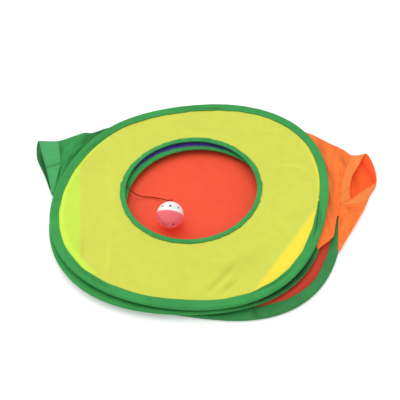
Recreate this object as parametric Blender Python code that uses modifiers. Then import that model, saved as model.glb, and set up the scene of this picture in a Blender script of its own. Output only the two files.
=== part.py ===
"""A pop-up cat tunnel lying folded flat: three sprung hoops in green binding tape, two of them with
a holed panel, fabric walls pleated between them, two side sleeves and a bell ball on a cord.

The origin is the middle of the base panel's underside on the floor, X to the right as the tunnel
is looked at, Y away from the viewer and Z up. Everything is in metres.
"""

import math

import bmesh
import bpy
from mathutils import Matrix, Vector

MM = 0.001
TURN = 2 * math.pi

# Running gap between touching pieces, and the distance below which two points are one
GAP = 0.3 * MM
MERGE = 0.02 * MM

# Hoops: the nominal circle outside the tape, and what is sewn into it
HOOP_RADIUS = 200 * MM
WIRE_DIAMETER = 1.8 * MM
WIRE_END_GAP = 1.0 * MM
CRIMP_WALL = 0.3 * MM
TAPE_THICKNESS = 0.6 * MM
HOOP_TAPE_WIDTH = 13.5 * MM
HOLE_TAPE_WIDTH = 9.5 * MM
PANEL_THICKNESS = 0.8 * MM

# Holes in the two upper panels: their clear radius
TOP_HOLE_RADIUS = 96 * MM
MIDDLE_HOLE_RADIUS = 103 * MM

# Where each ring's middle lies, the hoops having slid on each other as they folded
BASE_CENTRE = (0.0, 0.0)
MIDDLE_CENTRE = (-26.6 * MM, 2.3 * MM)
TOP_CENTRE = (-22.7 * MM, 8.6 * MM)
MIDDLE_HOLE_CENTRE = (-19 * MM, 2.9 * MM)
TOP_HOLE_CENTRE = (-28.5 * MM, 20.2 * MM)

# How far each sprung hoop is out of round: (waves, share of its radius, bearing in degrees)
BASE_ROUND_SHARES = ((2, 0.014, 38), (4, 0.044, 34))
MIDDLE_ROUND_SHARES = ((2, 0.047, 42), (3, 0.024, 305), (4, 0.024, 44))
TOP_ROUND_SHARES = ((2, 0.049, 42), (3, 0.024, 53), (4, 0.017, 36))

# Bearings in degrees at which the ends of each hoop's wire meet
BASE_JOIN, MIDDLE_JOIN, TOP_JOIN = 247.5, 285, 345

# Walls: the fabric between two hoops lies in pleats in this gap, this far in from the wire
PLEAT_GAP = 2.2 * MM
PLEAT_DEPTH = 32 * MM
SEAM_GAP = 2.0 * MM

# Base panel: how far in from the wire it comes down to the floor
DRAPE_WIDTH = 38 * MM

# Sleeves: cloth, and the hem sewn round each mouth
CLOTH_THICKNESS = 0.5 * MM
ROOT_CLEARANCE = 1.4 * MM
HEM_THICKNESS = 1.0 * MM

# Bell ball
BALL_DIAMETER = 39 * MM
BALL_WALL = 1.2 * MM
BALL_HOLE_DIAMETER = 3.4 * MM
BALL_HOLES = 6
BALL_HOLE_LATITUDE = 42
BALL_CENTRE_XY = (-58 * MM, -35 * MM)
BALL_POLE = (0.11, 0.935, 0.34)
BELL_DIAMETER = 14 * MM
BELL_WALL = 0.8 * MM
BELL_SLOT = 1.6 * MM
PEA_DIAMETER = 3.6 * MM

# Cord
CORD_DIAMETER = 1.6 * MM
KNOT_DIAMETER = 3.6 * MM
KNOT_INSET = 3.0 * MM
KNOT_BEARING = 173.4
CORD_SPACING = 3.6 * MM

# Facets
HOOP_STEPS = 48
BALL_STEPS = 24
BELL_STEPS = 16
KNOT_STEPS = 10
ARC_STEPS = 4
SLEEVE_STEPS = 8
ROUTE_STEPS = 16
WIRE_RESOLUTION = 2
SHARP_ANGLE = 40

# Sizes that follow
WIRE_RADIUS = WIRE_DIAMETER / 2
CRIMP_BORE = WIRE_RADIUS + GAP
CRIMP_RADIUS = CRIMP_BORE + CRIMP_WALL
TAPE_CAVITY = (CRIMP_RADIUS + GAP) / math.cos(math.pi / 2 / ARC_STEPS)
TUBE_RADIUS = TAPE_CAVITY + TAPE_THICKNESS
LEAF_INNER = PANEL_THICKNESS / 2 + GAP
LEAF_OUTER = LEAF_INNER + TAPE_THICKNESS
HOOP_PITCH = 2 * TUBE_RADIUS + PLEAT_GAP
HOOP_HEIGHTS = [TUBE_RADIUS + k * HOOP_PITCH for k in range(3)]
STACK_HEIGHT = HOOP_HEIGHTS[2] + TUBE_RADIUS
CRIMP_SHARE = 0.6
PANEL_EDGE = CRIMP_RADIUS + 2 * GAP
BALL_RADIUS = BALL_DIAMETER / 2
BALL_CENTRE = Vector((*BALL_CENTRE_XY, PANEL_THICKNESS + GAP + BALL_RADIUS))
BALL_TURN = Vector(BALL_POLE).to_track_quat("Z", "Y").to_matrix().to_4x4()
BALL_PLUG_LENGTH = 4 * BALL_WALL
BELL_RADIUS = BELL_DIAMETER / 2
BELL_INSIDE = BELL_RADIUS - BELL_WALL
BELL_CENTRE = BALL_CENTRE - Vector((0, 0, BALL_RADIUS - BALL_WALL - BELL_RADIUS - GAP))
CORD_RADIUS = CORD_DIAMETER / 2
KNOT_RADIUS = KNOT_DIAMETER / 2

# The cord's route on the floor plan and its heights, laid by hand from its knot to the ball
CORD_ROUTE = (
    (-121.5, 24.0, 13.6), (-116.0, 17.6, 12.4), (-109.0, 14.0, 8.6), (-99.5, 13.6, 4.2),
    (-87.5, 14.2, 2.6), (-76.5, 10.6, 3.8), (-68.5, 4.6, 8.4), (-62.5, -4.6, 16.2),
)


class Ring:
    """A hoop or a hole on the floor plan: its middle, its radius and how it is out of round."""

    def __init__(self, centre, radius, round_shares=()):
        self.centre, self.radius, self.round_shares = centre, radius, round_shares

    def radius_at(self, angle):
        swell = sum(share * math.cos(waves * (angle - math.radians(bearing)))
                    for waves, share, bearing in self.round_shares)
        return self.radius * (1 + swell)

    def at(self, angle, outwards=0.0, height=0.0):
        reach = self.radius_at(angle) + outwards
        return Vector((self.centre[0] + reach * math.cos(angle),
                       self.centre[1] + reach * math.sin(angle), height))


BASE_RING = Ring(BASE_CENTRE, HOOP_RADIUS - TUBE_RADIUS, BASE_ROUND_SHARES)
MIDDLE_RING = Ring(MIDDLE_CENTRE, HOOP_RADIUS - TUBE_RADIUS, MIDDLE_ROUND_SHARES)
TOP_RING = Ring(TOP_CENTRE, HOOP_RADIUS - TUBE_RADIUS, TOP_ROUND_SHARES)
MIDDLE_HOLE = Ring(MIDDLE_HOLE_CENTRE, MIDDLE_HOLE_RADIUS)
TOP_HOLE = Ring(TOP_HOLE_CENTRE, TOP_HOLE_RADIUS)


def clear_scene():
    for old in list(bpy.data.objects):
        bpy.data.objects.remove(old)


def new_collection(name):
    found = bpy.data.collections.get(name) or bpy.data.collections.new(name)
    if found.name not in bpy.context.scene.collection.children:
        bpy.context.scene.collection.children.link(found)
    return found


def make_material(name, colour, roughness, metallic=0.0):
    material = bpy.data.materials.new(name)
    material.use_nodes = True
    shader = material.node_tree.nodes["Principled BSDF"]
    shader.inputs["Base Color"].default_value = (*colour, 1.0)
    shader.inputs["Roughness"].default_value = roughness
    shader.inputs["Metallic"].default_value = metallic
    material.diffuse_color = (*colour, 1.0)
    return material


def add_part(name, data, look):
    """Puts new object data in the scene under the part's own name and material."""
    part = bpy.data.objects.new(name, data)
    data.materials.append(make_material(name + "_material", *look))
    PARTS.objects.link(part)
    return part


def add_cutter(name, cage):
    """Puts a cutting tool in the scene, out of sight."""
    mesh = bpy.data.meshes.new(name)
    cage.to_mesh(mesh)
    cage.free()
    cutter = bpy.data.objects.new(name, mesh)
    CUTTERS.objects.link(cutter)
    cutter.hide_render = True
    cutter.display_type = "WIRE"
    return cutter


def settle(part):
    """Turns a part with modifiers, or a curve, into a plain mesh with its caps welded."""
    graph = bpy.context.evaluated_depsgraph_get()
    mesh = bpy.data.meshes.new_from_object(part.evaluated_get(graph))
    looks = list(part.data.materials)
    name, place, home = part.name, part.matrix_world.copy(), part.users_collection[0]
    bpy.data.objects.remove(part)
    solid = bpy.data.objects.new(name, mesh)
    home.objects.link(solid)
    solid.matrix_world = place
    mesh.materials.clear()
    for look in looks:
        mesh.materials.append(look)
    tidy(mesh)
    return solid


def tidy(mesh):
    """Welds a mesh, points its faces outwards and shades its round sides smooth."""
    cage = bmesh.new()
    cage.from_mesh(mesh)
    bmesh.ops.remove_doubles(cage, verts=cage.verts, dist=MERGE)
    bmesh.ops.recalc_face_normals(cage, faces=cage.faces)
    cage.to_mesh(mesh)
    cage.free()
    mesh.shade_smooth()
    mesh.set_sharp_from_angle(angle=math.radians(SHARP_ANGLE))


def turned(name, profile, look, steps, closed=True):
    """A profile of (radius, height) points turned round the Z axis."""
    mesh = bpy.data.meshes.new(name)
    last = len(profile) if closed else len(profile) - 1
    edges = [(i, (i + 1) % len(profile)) for i in range(last)]
    mesh.from_pydata([(x, 0, z) for x, z in profile], edges, [])
    part = add_part(name, mesh, look)
    screw = part.modifiers.new("Turn", "SCREW")
    screw.steps = screw.render_steps = steps
    screw.use_merge_vertices = True
    screw.merge_threshold = MERGE
    return settle(part)


def press_to_outline(part, outer, inner=None, inner_radius=0.0):
    """Shifts a turned part from a true circle to its hoop's outline, and to a hole's inside it."""
    inner = inner or Ring(outer.centre, inner_radius)
    for vertex in part.data.vertices:
        flat = vertex.co.xy
        angle = math.atan2(flat.y, flat.x)
        weight = min(max((flat.length - inner_radius) / (outer.radius - inner_radius), 0.0), 1.0)
        reach = flat.length + weight * (outer.radius_at(angle) - outer.radius)
        middle = Vector(inner.centre).lerp(Vector(outer.centre), weight)
        vertex.co.xy = middle + reach * Vector((math.cos(angle), math.sin(angle)))


def place_on(part, ring):
    """Shifts a turned part to a hoop or hole, keeping its width all the way round."""
    for vertex in part.data.vertices:
        reach, angle = math.hypot(vertex.co.x, vertex.co.y), math.atan2(vertex.co.y, vertex.co.x)
        height = vertex.co.z
        vertex.co = ring.at(angle, reach - ring.radius, height)


def tube(name, points, radius, look, capped=True, resolution=WIRE_RESOLUTION):
    """A round wire or cord through the points."""
    curve = bpy.data.curves.new(name, "CURVE")
    curve.dimensions = "3D"
    curve.bevel_depth = radius
    curve.bevel_resolution = resolution
    curve.use_fill_caps = capped
    spline = curve.splines.new("POLY")
    spline.points.add(len(points) - 1)
    for target, point in zip(spline.points, points, strict=True):
        target.co = (*point, 1.0)
    return add_part(name, curve, look)


def loops_of(cage, loops):
    return [[cage.verts.new(point) for point in loop] for loop in loops]


def skin(cage, rows, halved=False):
    """Faces from each loop of points to the next; twisted ones are halved so that they lie flat."""
    for here, there in zip(rows, rows[1:], strict=False):
        for i in range(len(here)):
            j = (i + 1) % len(here)
            if halved:
                cage.faces.new((here[i], here[j], there[j]))
                cage.faces.new((here[i], there[j], there[i]))
            else:
                cage.faces.new((here[i], here[j], there[j], there[i]))


def lofted(name, cage, look):
    """A part from a finished skin."""
    mesh = bpy.data.meshes.new(name)
    cage.to_mesh(mesh)
    cage.free()
    tidy(mesh)
    return add_part(name, mesh, look)


def arc(radius, start, end, steps, middle=(0.0, 0.0)):
    """Points of (radius, height) along an arc from one angle in degrees to another."""
    turn = [math.radians(start + (end - start) * k / steps) for k in range(steps + 1)]
    return [(middle[0] + radius * math.cos(a), middle[1] + radius * math.sin(a)) for a in turn]


def hoop_wire(name, ring, height, join):
    """Spring wire bent round until its two ends meet inside the crimp."""
    clear = WIRE_END_GAP / 2 / ring.radius
    step = TURN / HOOP_STEPS
    angles = [join + clear] + [join + k * step for k in range(1, HOOP_STEPS)] + [join + TURN - clear]
    tube(name, [ring.at(a, 0.0, height) for a in angles], WIRE_RADIUS, look=STEEL)


def wire_crimp(name, ring, height, join):
    """A short sleeve over the wire's two ends."""
    step = TURN / HOOP_STEPS
    middle = ring.at(join, 0.0, height)
    ends = [middle.lerp(ring.at(join + side * step, 0.0, height), CRIMP_SHARE) for side in (-1, 1)]
    part = tube(name, [ends[0], middle, ends[1]], CRIMP_RADIUS, look=STEEL, capped=False)
    part = settle(part)
    wall = part.modifiers.new("Wall", "SOLIDIFY")
    wall.thickness = CRIMP_WALL
    wall.offset = -1


def hoop_binding(name, ring, height, look):
    """Tape folded round the wire, its two leaves holding the panel's edge between them."""
    leaf_end = TUBE_RADIUS - HOOP_TAPE_WIDTH
    outer = arc(TUBE_RADIUS, 90, -90, ARC_STEPS)
    inner = arc(TAPE_CAVITY, -90, 90, ARC_STEPS)
    profile = [(leaf_end, LEAF_OUTER), *outer, (leaf_end, -LEAF_OUTER)]
    profile += [(leaf_end, -LEAF_INNER), *inner, (leaf_end, LEAF_INNER)]
    part = turned(name, [(ring.radius + x, height + z) for x, z in profile], look, HOOP_STEPS)
    place_on(part, ring)


def hole_binding(name, ring, height, look):
    """Flat tape folded over a hole's cut edge."""
    far = ring.radius + HOLE_TAPE_WIDTH
    near = ring.radius + TAPE_THICKNESS
    profile = [(far, LEAF_OUTER), (far, LEAF_INNER), (near, LEAF_INNER), (near, -LEAF_INNER)]
    profile += [(far, -LEAF_INNER), (far, -LEAF_OUTER), (near, -LEAF_OUTER)]
    profile += [(ring.radius, -LEAF_INNER), (ring.radius, LEAF_INNER), (near, LEAF_OUTER)]
    part = turned(name, [(x, height + z) for x, z in profile], look, HOOP_STEPS)
    place_on(part, ring)


def holed_panel(name, ring, hole, height, look):
    """A fabric panel from its hole's tape out to its hoop's."""
    inner, outer = hole.radius + TAPE_THICKNESS + GAP, ring.radius - PANEL_EDGE
    half = PANEL_THICKNESS / 2
    shares = (1.0, 0.8, 0.45, 0.0)
    reach = [inner + share * (outer - inner) for share in shares]
    profile = [(x, height + half) for x in reversed(reach)] + [(x, height - half) for x in reach]
    part = turned(name, profile, look, HOOP_STEPS)
    press_to_outline(part, ring, hole, inner)


def base_panel(name, ring, height, look):
    """The closed panel, sewn in at the wire's height and lying on the floor inside its hoop."""
    outer = ring.radius - PANEL_EDGE
    sewn = ring.radius - (HOOP_TAPE_WIDTH - TUBE_RADIUS)
    flat = ring.radius - DRAPE_WIDTH
    half = PANEL_THICKNESS / 2
    under = [(outer, height - half), (sewn, height - half), (flat, 0.0), (0.0, 0.0)]
    over = [(0.0, PANEL_THICKNESS), (flat, PANEL_THICKNESS), (sewn, height + half), (outer, height + half)]
    part = turned(name, over + under, look, HOOP_STEPS, closed=False)
    weld_rim(part)
    press_to_outline(part, ring)


def weld_rim(part):
    """Closes the open rim between a turned sheet's two sides."""
    cage = bmesh.new()
    cage.from_mesh(part.data)
    rim = [edge for edge in cage.edges if edge.is_boundary]
    bmesh.ops.bridge_loops(cage, edges=rim)
    cage.to_mesh(part.data)
    cage.free()
    tidy(part.data)


def pleated_wall(name, ring, level, start, end, look):
    """A stretch of wall, folded flat in the gap over a hoop, between two bearings in degrees."""
    low = HOOP_HEIGHTS[level] + TUBE_RADIUS + GAP
    high = HOOP_HEIGHTS[level + 1] - TUBE_RADIUS - GAP
    clear = SEAM_GAP / 2 / ring.radius
    first, last = math.radians(start) + clear, math.radians(end) - clear
    steps = max(2, round((last - first) / TURN * HOOP_STEPS))
    loops = []
    for k in range(steps + 1):
        angle = first + (last - first) * k / steps
        corners = ((0.0, low), (0.0, high), (-PLEAT_DEPTH, high), (-PLEAT_DEPTH, low))
        loops.append([ring.at(angle, out, z) for out, z in corners])
    cage = bmesh.new()
    rows = loops_of(cage, loops)
    skin(cage, rows)
    cage.faces.new(rows[0])
    cage.faces.new(rows[-1])
    lofted(name, cage, look)


def straight_row(back, front, bow):
    """A path from a sleeve's back fold to its front fold, bowed outwards by a share of its hoop."""
    back, front = Vector(back) * HOOP_RADIUS, Vector(front) * HOOP_RADIUS
    along = (front - back).normalized()
    out = Vector((-along.y, along.x)) * bow * HOOP_RADIUS
    if out.dot(back) < 0 < bow:
        out.negate()

    def path(share):
        return back.lerp(front, share) + out * math.sin(math.pi * share)

    return path


def ring_row(ring, start, end):
    """A path along a hoop, just outside its walls, between two bearings in degrees."""
    def path(share):
        return ring.at(math.radians(start + (end - start) * share), ROOT_CLEARANCE).xy

    return path


def sleeve_loop(station, wall):
    """One cross-section of a flattened sleeve: a lens over its row's path, less the wall."""
    path, low, high = station
    long = (path(1.0) - path(0.0)).length
    middle, half, clear = (low + high) / 2, (high - low) / 2 - wall, wall / long
    points = []
    for k in range(2 * SLEEVE_STEPS):
        turn = math.pi * k / SLEEVE_STEPS
        share = clear + (1 - 2 * clear) * (1 - math.cos(turn)) / 2
        flat = path(share)
        points.append(Vector((flat.x, flat.y, middle + half * math.sin(turn))))
    return points


def set_back(station, towards, clearance):
    """A station moved square to its own row, towards another station."""
    row, *heights = station
    along = row(1.0) - row(0.0)
    inwards = Vector((-along.y, along.x)).normalized()
    if inwards.dot(towards[0](0.5) - row(0.5)) < 0:
        inwards.negate()

    def path(share):
        return row(share) + inwards * clearance

    return (path, *heights)


def sleeve_tube(name, stations, wall, look):
    """An open-ended flattened tube through its stations, with a wall's thickness."""
    cage = bmesh.new()
    outside = loops_of(cage, [sleeve_loop(station, 0.0) for station in stations])
    inside = loops_of(cage, [sleeve_loop(station, wall) for station in stations])
    skin(cage, outside, halved=True)
    skin(cage, inside, halved=True)
    skin(cage, [outside[0], inside[0]], halved=True)
    skin(cage, [outside[-1], inside[-1]], halved=True)
    lofted(name, cage, look)


def ball_shell(name, side, look):
    """Half of the bell ball, turned on its pole, with moulded holes round it."""
    inside = BALL_RADIUS - BALL_WALL
    mouth = CORD_RADIUS + GAP
    top = math.degrees(math.acos(mouth / BALL_RADIUS))
    lift = GAP / 2
    outer = arc(BALL_RADIUS, top, 0, BALL_STEPS // 4)
    inner = arc(inside, 0, top, BALL_STEPS // 4)
    profile = [(x, z + lift) for x, z in outer] + [(x, z + lift) for x, z in inner]
    shell = turned(name, profile, look, BALL_STEPS)
    plugs = bmesh.new()
    for k in range(BALL_HOLES):
        add_plug(plugs, TURN * (k + 0.5) / BALL_HOLES, math.radians(BALL_HOLE_LATITUDE))
    cut(shell, add_cutter(name + "_holes", plugs))
    turn = BALL_TURN if side > 0 else BALL_TURN @ Matrix.Rotation(math.pi, 4, "X")
    shell.matrix_world = Matrix.Translation(BALL_CENTRE) @ turn


def add_plug(cage, bearing, latitude):
    """Adds a three-sided plug through the ball's wall at a bearing and a latitude."""
    side = Vector((math.cos(bearing), math.sin(bearing), 0.0))
    out = side * math.cos(latitude) + Vector((0.0, 0.0, math.sin(latitude)))
    turn = out.to_track_quat("Z", "Y").to_matrix().to_4x4()
    bmesh.ops.create_cone(cage, cap_ends=True, segments=3, radius1=BALL_HOLE_DIAMETER / 2,
                          radius2=BALL_HOLE_DIAMETER / 2, depth=BALL_PLUG_LENGTH,
                          matrix=Matrix.Translation(out * (BALL_RADIUS - BALL_WALL / 2)) @ turn)


def cut(part, cutter):
    """Cuts the cutter out of a part, both still in the part's own frame."""
    cutter.parent = part
    knife = part.modifiers.new("Cut", "BOOLEAN")
    knife.operation = "DIFFERENCE"
    knife.object = cutter


def bell(name, look):
    """A jingle bell: a thin ball with a slot across its underside."""
    shell = small_ball(name, BELL_CENTRE, BELL_RADIUS, look, BELL_STEPS)
    hollow = bmesh.new()
    bmesh.ops.create_uvsphere(hollow, u_segments=BELL_STEPS, v_segments=BELL_STEPS // 2,
                              radius=BELL_INSIDE)
    cut(shell, add_cutter(name + "_hollow", hollow))
    slot = bmesh.new()
    bmesh.ops.create_cube(slot, size=1.0)
    bmesh.ops.scale(slot, verts=slot.verts, vec=(2 * BELL_DIAMETER, BELL_SLOT, BELL_RADIUS))
    bmesh.ops.translate(slot, verts=slot.verts, vec=(0, 0, -BELL_RADIUS))
    cut(shell, add_cutter(name + "_slot", slot))


def small_ball(name, centre, radius, look, steps):
    cage = bmesh.new()
    bmesh.ops.create_uvsphere(cage, u_segments=steps, v_segments=steps // 2, radius=radius)
    mesh = bpy.data.meshes.new(name)
    cage.to_mesh(mesh)
    cage.free()
    tidy(mesh)
    part = add_part(name, mesh, look)
    part.location = centre
    return part


def smooth_route(points, spacing):
    """Points at even spacing along a smooth curve through the route's own points."""
    padded = [2 * points[0] - points[1], *points, 2 * points[-1] - points[-2]]
    fine = []
    for a, b, c, d in zip(padded, padded[1:], padded[2:], padded[3:], strict=False):
        for k in range(ROUTE_STEPS):
            t = k / ROUTE_STEPS
            fine.append(0.5 * (2 * b + (c - a) * t + (2 * a - 5 * b + 4 * c - d) * t ** 2
                               + (3 * b - a - 3 * c + d) * t ** 3))
    fine.append(points[-1])
    long = sum((b - a).length for a, b in zip(fine, fine[1:], strict=False))
    count = max(2, round(long / spacing))
    out, walked, target = [fine[0]], 0.0, long / count
    for a, b in zip(fine, fine[1:], strict=False):
        step = (b - a).length
        while walked + step >= target - MERGE / 10 and len(out) < count:
            out.append(a.lerp(b, (target - walked) / step))
            target += long / count
        walked += step
    out.append(fine[-1])
    return out


GREEN = ((0.07, 0.39, 0.09), 0.75)
YELLOW = ((0.72, 0.75, 0.11), 0.8)
PURPLE = ((0.05, 0.03, 0.19), 0.8)
RED = ((1.0, 0.11, 0.05), 0.8)
ORANGE = ((1.0, 0.21, 0.04), 0.8)
STEEL = ((0.45, 0.45, 0.46), 0.3, 1.0)
WHITE = ((0.9, 0.88, 0.84), 0.35)
PINK = ((0.95, 0.16, 0.2), 0.3)
BRASS = ((0.75, 0.6, 0.3), 0.3, 1.0)
CRIMSON = ((0.35, 0.02, 0.01), 0.8)


def hoops():
    """Each hoop's wire, its crimp and its tape."""
    rows = (("base", BASE_RING, BASE_JOIN), ("middle", MIDDLE_RING, MIDDLE_JOIN), ("top", TOP_RING, TOP_JOIN))
    for (name, ring, bearing), height in zip(rows, HOOP_HEIGHTS, strict=True):
        join = math.radians(bearing)
        hoop_wire(name + "_hoop_wire", ring, height, join)
        wire_crimp(name + "_wire_crimp", ring, height, join)
        hoop_binding(name + "_hoop_binding", ring, height, GREEN)


def panels():
    base_panel("base_panel", BASE_RING, HOOP_HEIGHTS[0], RED)
    holed_panel("middle_panel", MIDDLE_RING, MIDDLE_HOLE, HOOP_HEIGHTS[1], PURPLE)
    hole_binding("middle_hole_binding", MIDDLE_HOLE, HOOP_HEIGHTS[1], GREEN)
    holed_panel("top_panel", TOP_RING, TOP_HOLE, HOOP_HEIGHTS[2], YELLOW)
    hole_binding("top_hole_binding", TOP_HOLE, HOOP_HEIGHTS[2], GREEN)


def walls():
    """The lower section's two red walls and the upper section's four."""
    pleated_wall("lower_front_wall", MIDDLE_RING, 0, 180, 360, RED)
    pleated_wall("lower_back_wall", MIDDLE_RING, 0, 0, 180, RED)
    pleated_wall("green_side_wall", MIDDLE_RING, 1, 105, 225, GREEN)
    pleated_wall("front_wall", MIDDLE_RING, 1, 225, 292, PURPLE)
    pleated_wall("orange_side_wall", MIDDLE_RING, 1, 292, 408, ORANGE)
    pleated_wall("back_wall", MIDDLE_RING, 1, 48, 105, PURPLE)


def sleeve(name, root, row_shares, look):
    """A side sleeve from its wall to its hem, and the hem round its mouth. A row is its back fold's
    place, its front fold's place and how far it bows outwards, as shares of the hoop's radius, and
    its lowest and highest point, as shares of the stack's height."""
    low, high = HOOP_HEIGHTS[1] + TUBE_RADIUS + GAP, HOOP_HEIGHTS[2] - TUBE_RADIUS - GAP
    stations = [(ring_row(MIDDLE_RING, *root), low, high)]
    for back, front, bow, low_share, high_share in row_shares:
        stations.append((straight_row(back, front, bow), low_share * STACK_HEIGHT, high_share * STACK_HEIGHT))
    sleeve_tube(name + "_hem", stations[-2:], HEM_THICKNESS, look)
    stations[-2] = set_back(stations[-2], stations[-3], GAP)
    sleeve_tube(name, stations[:-1], CLOTH_THICKNESS, look)


def sleeves():
    green_row_shares = (
        ((-0.95, 0.725), (-1.165, 0.12), 0.08, 0.3, 0.72),
        ((-1.205, 0.625), (-1.175, 0.22), 0.0, 0.08, 0.62),
        ((-1.345, 0.63), (-1.23, 0.24), 0.0, 0.04, 0.6),
    )
    orange_row_shares = (
        ((0.93, 0.59), (0.92, -0.4), 0.1, 0.36, 0.72),
        ((1.1, 0.47), (1.05, -0.15), 0.0, 0.12, 0.62),
        ((1.2, 0.48), (1.12, 0.03), 0.0, 0.04, 0.6),
    )
    sleeve("green_sleeve", (124, 181), green_row_shares, GREEN)
    sleeve("orange_sleeve", (44, -8), orange_row_shares, ORANGE)


def toy():
    """The knot at the hole's tape, the cord, and the bell ball on its end."""
    bearing = math.radians(KNOT_BEARING)
    knot_height = HOOP_HEIGHTS[2] - LEAF_OUTER - GAP - KNOT_RADIUS
    knot = TOP_HOLE.at(bearing, KNOT_INSET, knot_height)
    small_ball("binding_knot", knot, KNOT_RADIUS, CRIMSON, KNOT_STEPS)
    route = [Vector(point) * MM for point in CORD_ROUTE]
    pole = Vector(BALL_POLE).normalized()
    out = (route[0] - knot).normalized()
    end_knot = BALL_CENTRE + pole * (BALL_RADIUS - BALL_WALL - GAP - KNOT_RADIUS)
    end = end_knot + pole * (KNOT_RADIUS + GAP)
    outside = BALL_CENTRE + pole * (BALL_RADIUS + 2 * CORD_DIAMETER)
    points = [knot + out * (KNOT_RADIUS + GAP), *route, outside]
    points = smooth_route(points, CORD_SPACING) + [end]
    print("cord length mm", round(sum((b - a).length for a, b in zip(points, points[1:])) / MM, 1))
    tube("toy_cord", points, CORD_RADIUS, CRIMSON)
    small_ball("ball_knot", end_knot, KNOT_RADIUS, CRIMSON, KNOT_STEPS)
    ball_shell("ball_upper_shell", 1, WHITE)
    ball_shell("ball_lower_shell", -1, PINK)
    bell("bell_shell", BRASS)
    pea = BELL_CENTRE - Vector((0, 0, BELL_INSIDE - PEA_DIAMETER / 2 - GAP))
    small_ball("bell_pea", pea, PEA_DIAMETER / 2, STEEL, KNOT_STEPS)


clear_scene()
PARTS = new_collection("cat_tunnel")
CUTTERS = new_collection("cutters")
hoops()
panels()
walls()
sleeves()
toy()
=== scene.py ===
"""Dresses the folded cat tunnel: tape, cloth, sleeves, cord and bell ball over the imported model.

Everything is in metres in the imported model's frame: the origin is the middle of the base panel's
underside on the floor, X to the right, Y away from the viewer and Z up.
"""

import math

import bmesh
import bpy
from bpy.props import FloatProperty, FloatVectorProperty, PointerProperty
from mathutils import Matrix, Vector, noise


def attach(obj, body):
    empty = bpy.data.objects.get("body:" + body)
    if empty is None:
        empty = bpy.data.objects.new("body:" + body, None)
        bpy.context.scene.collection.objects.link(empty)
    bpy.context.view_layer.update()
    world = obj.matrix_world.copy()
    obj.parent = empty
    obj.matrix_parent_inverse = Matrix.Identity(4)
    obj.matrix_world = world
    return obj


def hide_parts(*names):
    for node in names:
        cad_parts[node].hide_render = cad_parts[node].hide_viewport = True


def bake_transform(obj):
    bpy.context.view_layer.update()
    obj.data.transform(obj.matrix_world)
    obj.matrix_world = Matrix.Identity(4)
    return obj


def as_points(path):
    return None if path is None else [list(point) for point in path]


bl_info = {
    "name": "Cat Tunnel",
    "version": (1, 0, 0),
    "blender": (4, 5, 0),
    "location": "View3D > Sidebar > Cat Tunnel",
    "description": "Dresses a folded cat tunnel with tape, cloth panels, sleeves and a bell ball",
    "category": "Object",
}

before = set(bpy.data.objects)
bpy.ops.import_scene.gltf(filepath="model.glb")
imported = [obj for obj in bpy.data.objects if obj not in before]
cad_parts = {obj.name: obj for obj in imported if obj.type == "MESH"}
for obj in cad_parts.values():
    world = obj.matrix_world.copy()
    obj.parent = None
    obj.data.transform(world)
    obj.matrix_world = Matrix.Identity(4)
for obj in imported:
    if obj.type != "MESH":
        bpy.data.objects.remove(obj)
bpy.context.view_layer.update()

MM = 0.001
TURN = 2 * math.pi
MERGE = 0.01 * MM

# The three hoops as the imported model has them: the wire's circle, and each wire's height
WIRE_CIRCLE = 197.452 * MM
HOOP_HEIGHTS = (2.548 * MM, 9.845 * MM, 17.142 * MM)
LEVELS = ("base", "middle", "top")
# How far in from the wire the sewn edges of the panels and of the walls lie
PANEL_INSET = 2.1 * MM
WALL_INSET = 10.8 * MM


def turn_past(bearing, start):
    """Degrees from one bearing on to another, from -180 to 180."""
    return (bearing - start + 180) % 360 - 180


def peak(offset, spread):
    """1 where there is no offset, and softly less on both sides."""
    return math.exp(-(offset / spread) ** 2)


class Ring:
    """A hoop or a hole on the floor plan: its middle, its radius and how it is out of round. A round
    share is a number of waves, their height and a bearing, and a nudge is a bearing, its spread and
    how far the line is pushed out there, in mm."""

    def __init__(self, centre, radius, round_shares=(), nudges=()):
        self.centre, self.radius, self.round_shares, self.nudges = centre, radius, round_shares, nudges

    def at(self, angle, outwards=0.0, height=0.0):
        swell = sum(share * math.cos(waves * (angle - math.radians(bearing)))
                    for waves, share, bearing in self.round_shares)
        reach = self.radius * (1 + swell) + outwards
        for bearing, spread, push in self.nudges:
            reach += push * MM * peak(turn_past(math.degrees(angle), bearing), spread)
        return Vector((self.centre[0] + reach * math.cos(angle),
                       self.centre[1] + reach * math.sin(angle), height))


# The hoops and the holes as they lie; the nudges bring the top hoop to the photograph's line
BASE_RING = Ring((0.0, 0.0), WIRE_CIRCLE, ((2, 0.014, 38), (4, 0.044, 34)))
MIDDLE_RING = Ring((-26.6 * MM, 2.3 * MM), WIRE_CIRCLE,
                   ((2, 0.047, 42), (3, 0.024, 305), (4, 0.024, 44)))
TOP_RING = Ring((-22.7 * MM, 8.6 * MM), WIRE_CIRCLE, ((2, 0.049, 42), (3, 0.024, 53), (4, 0.017, 36)),
                ((207, 30, 3.0), (268, 22, -1.0), (75, 42, -3.6), (137, 24, 3.4), (15, 22, -1.4)))
TOP_HOLE = Ring((-28.5 * MM, 20.2 * MM), 96 * MM, ((2, 0.022, 45),))
MIDDLE_HOLE = Ring((-19 * MM, 2.9 * MM), 103 * MM, ((2, 0.012, 45),))

# The bell ball and its cord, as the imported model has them
BALL_CENTRE = Vector((-58, -35, 20.6)) * MM
BALL_POLE = Vector((0.11, 0.935, 0.34)).normalized()
BALL_TURN = BALL_POLE.to_track_quat("Z", "Y").to_matrix().to_4x4()
KNOT_PLACE = Vector((-126.84, 31.58, 13.74)) * MM
BALL_KNOT_PLACE = BALL_CENTRE + BALL_POLE * 16.2 * MM
# Where the cord leaves the ball
CORD_MOUTH = BALL_CENTRE + BALL_POLE * 22.7 * MM
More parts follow.
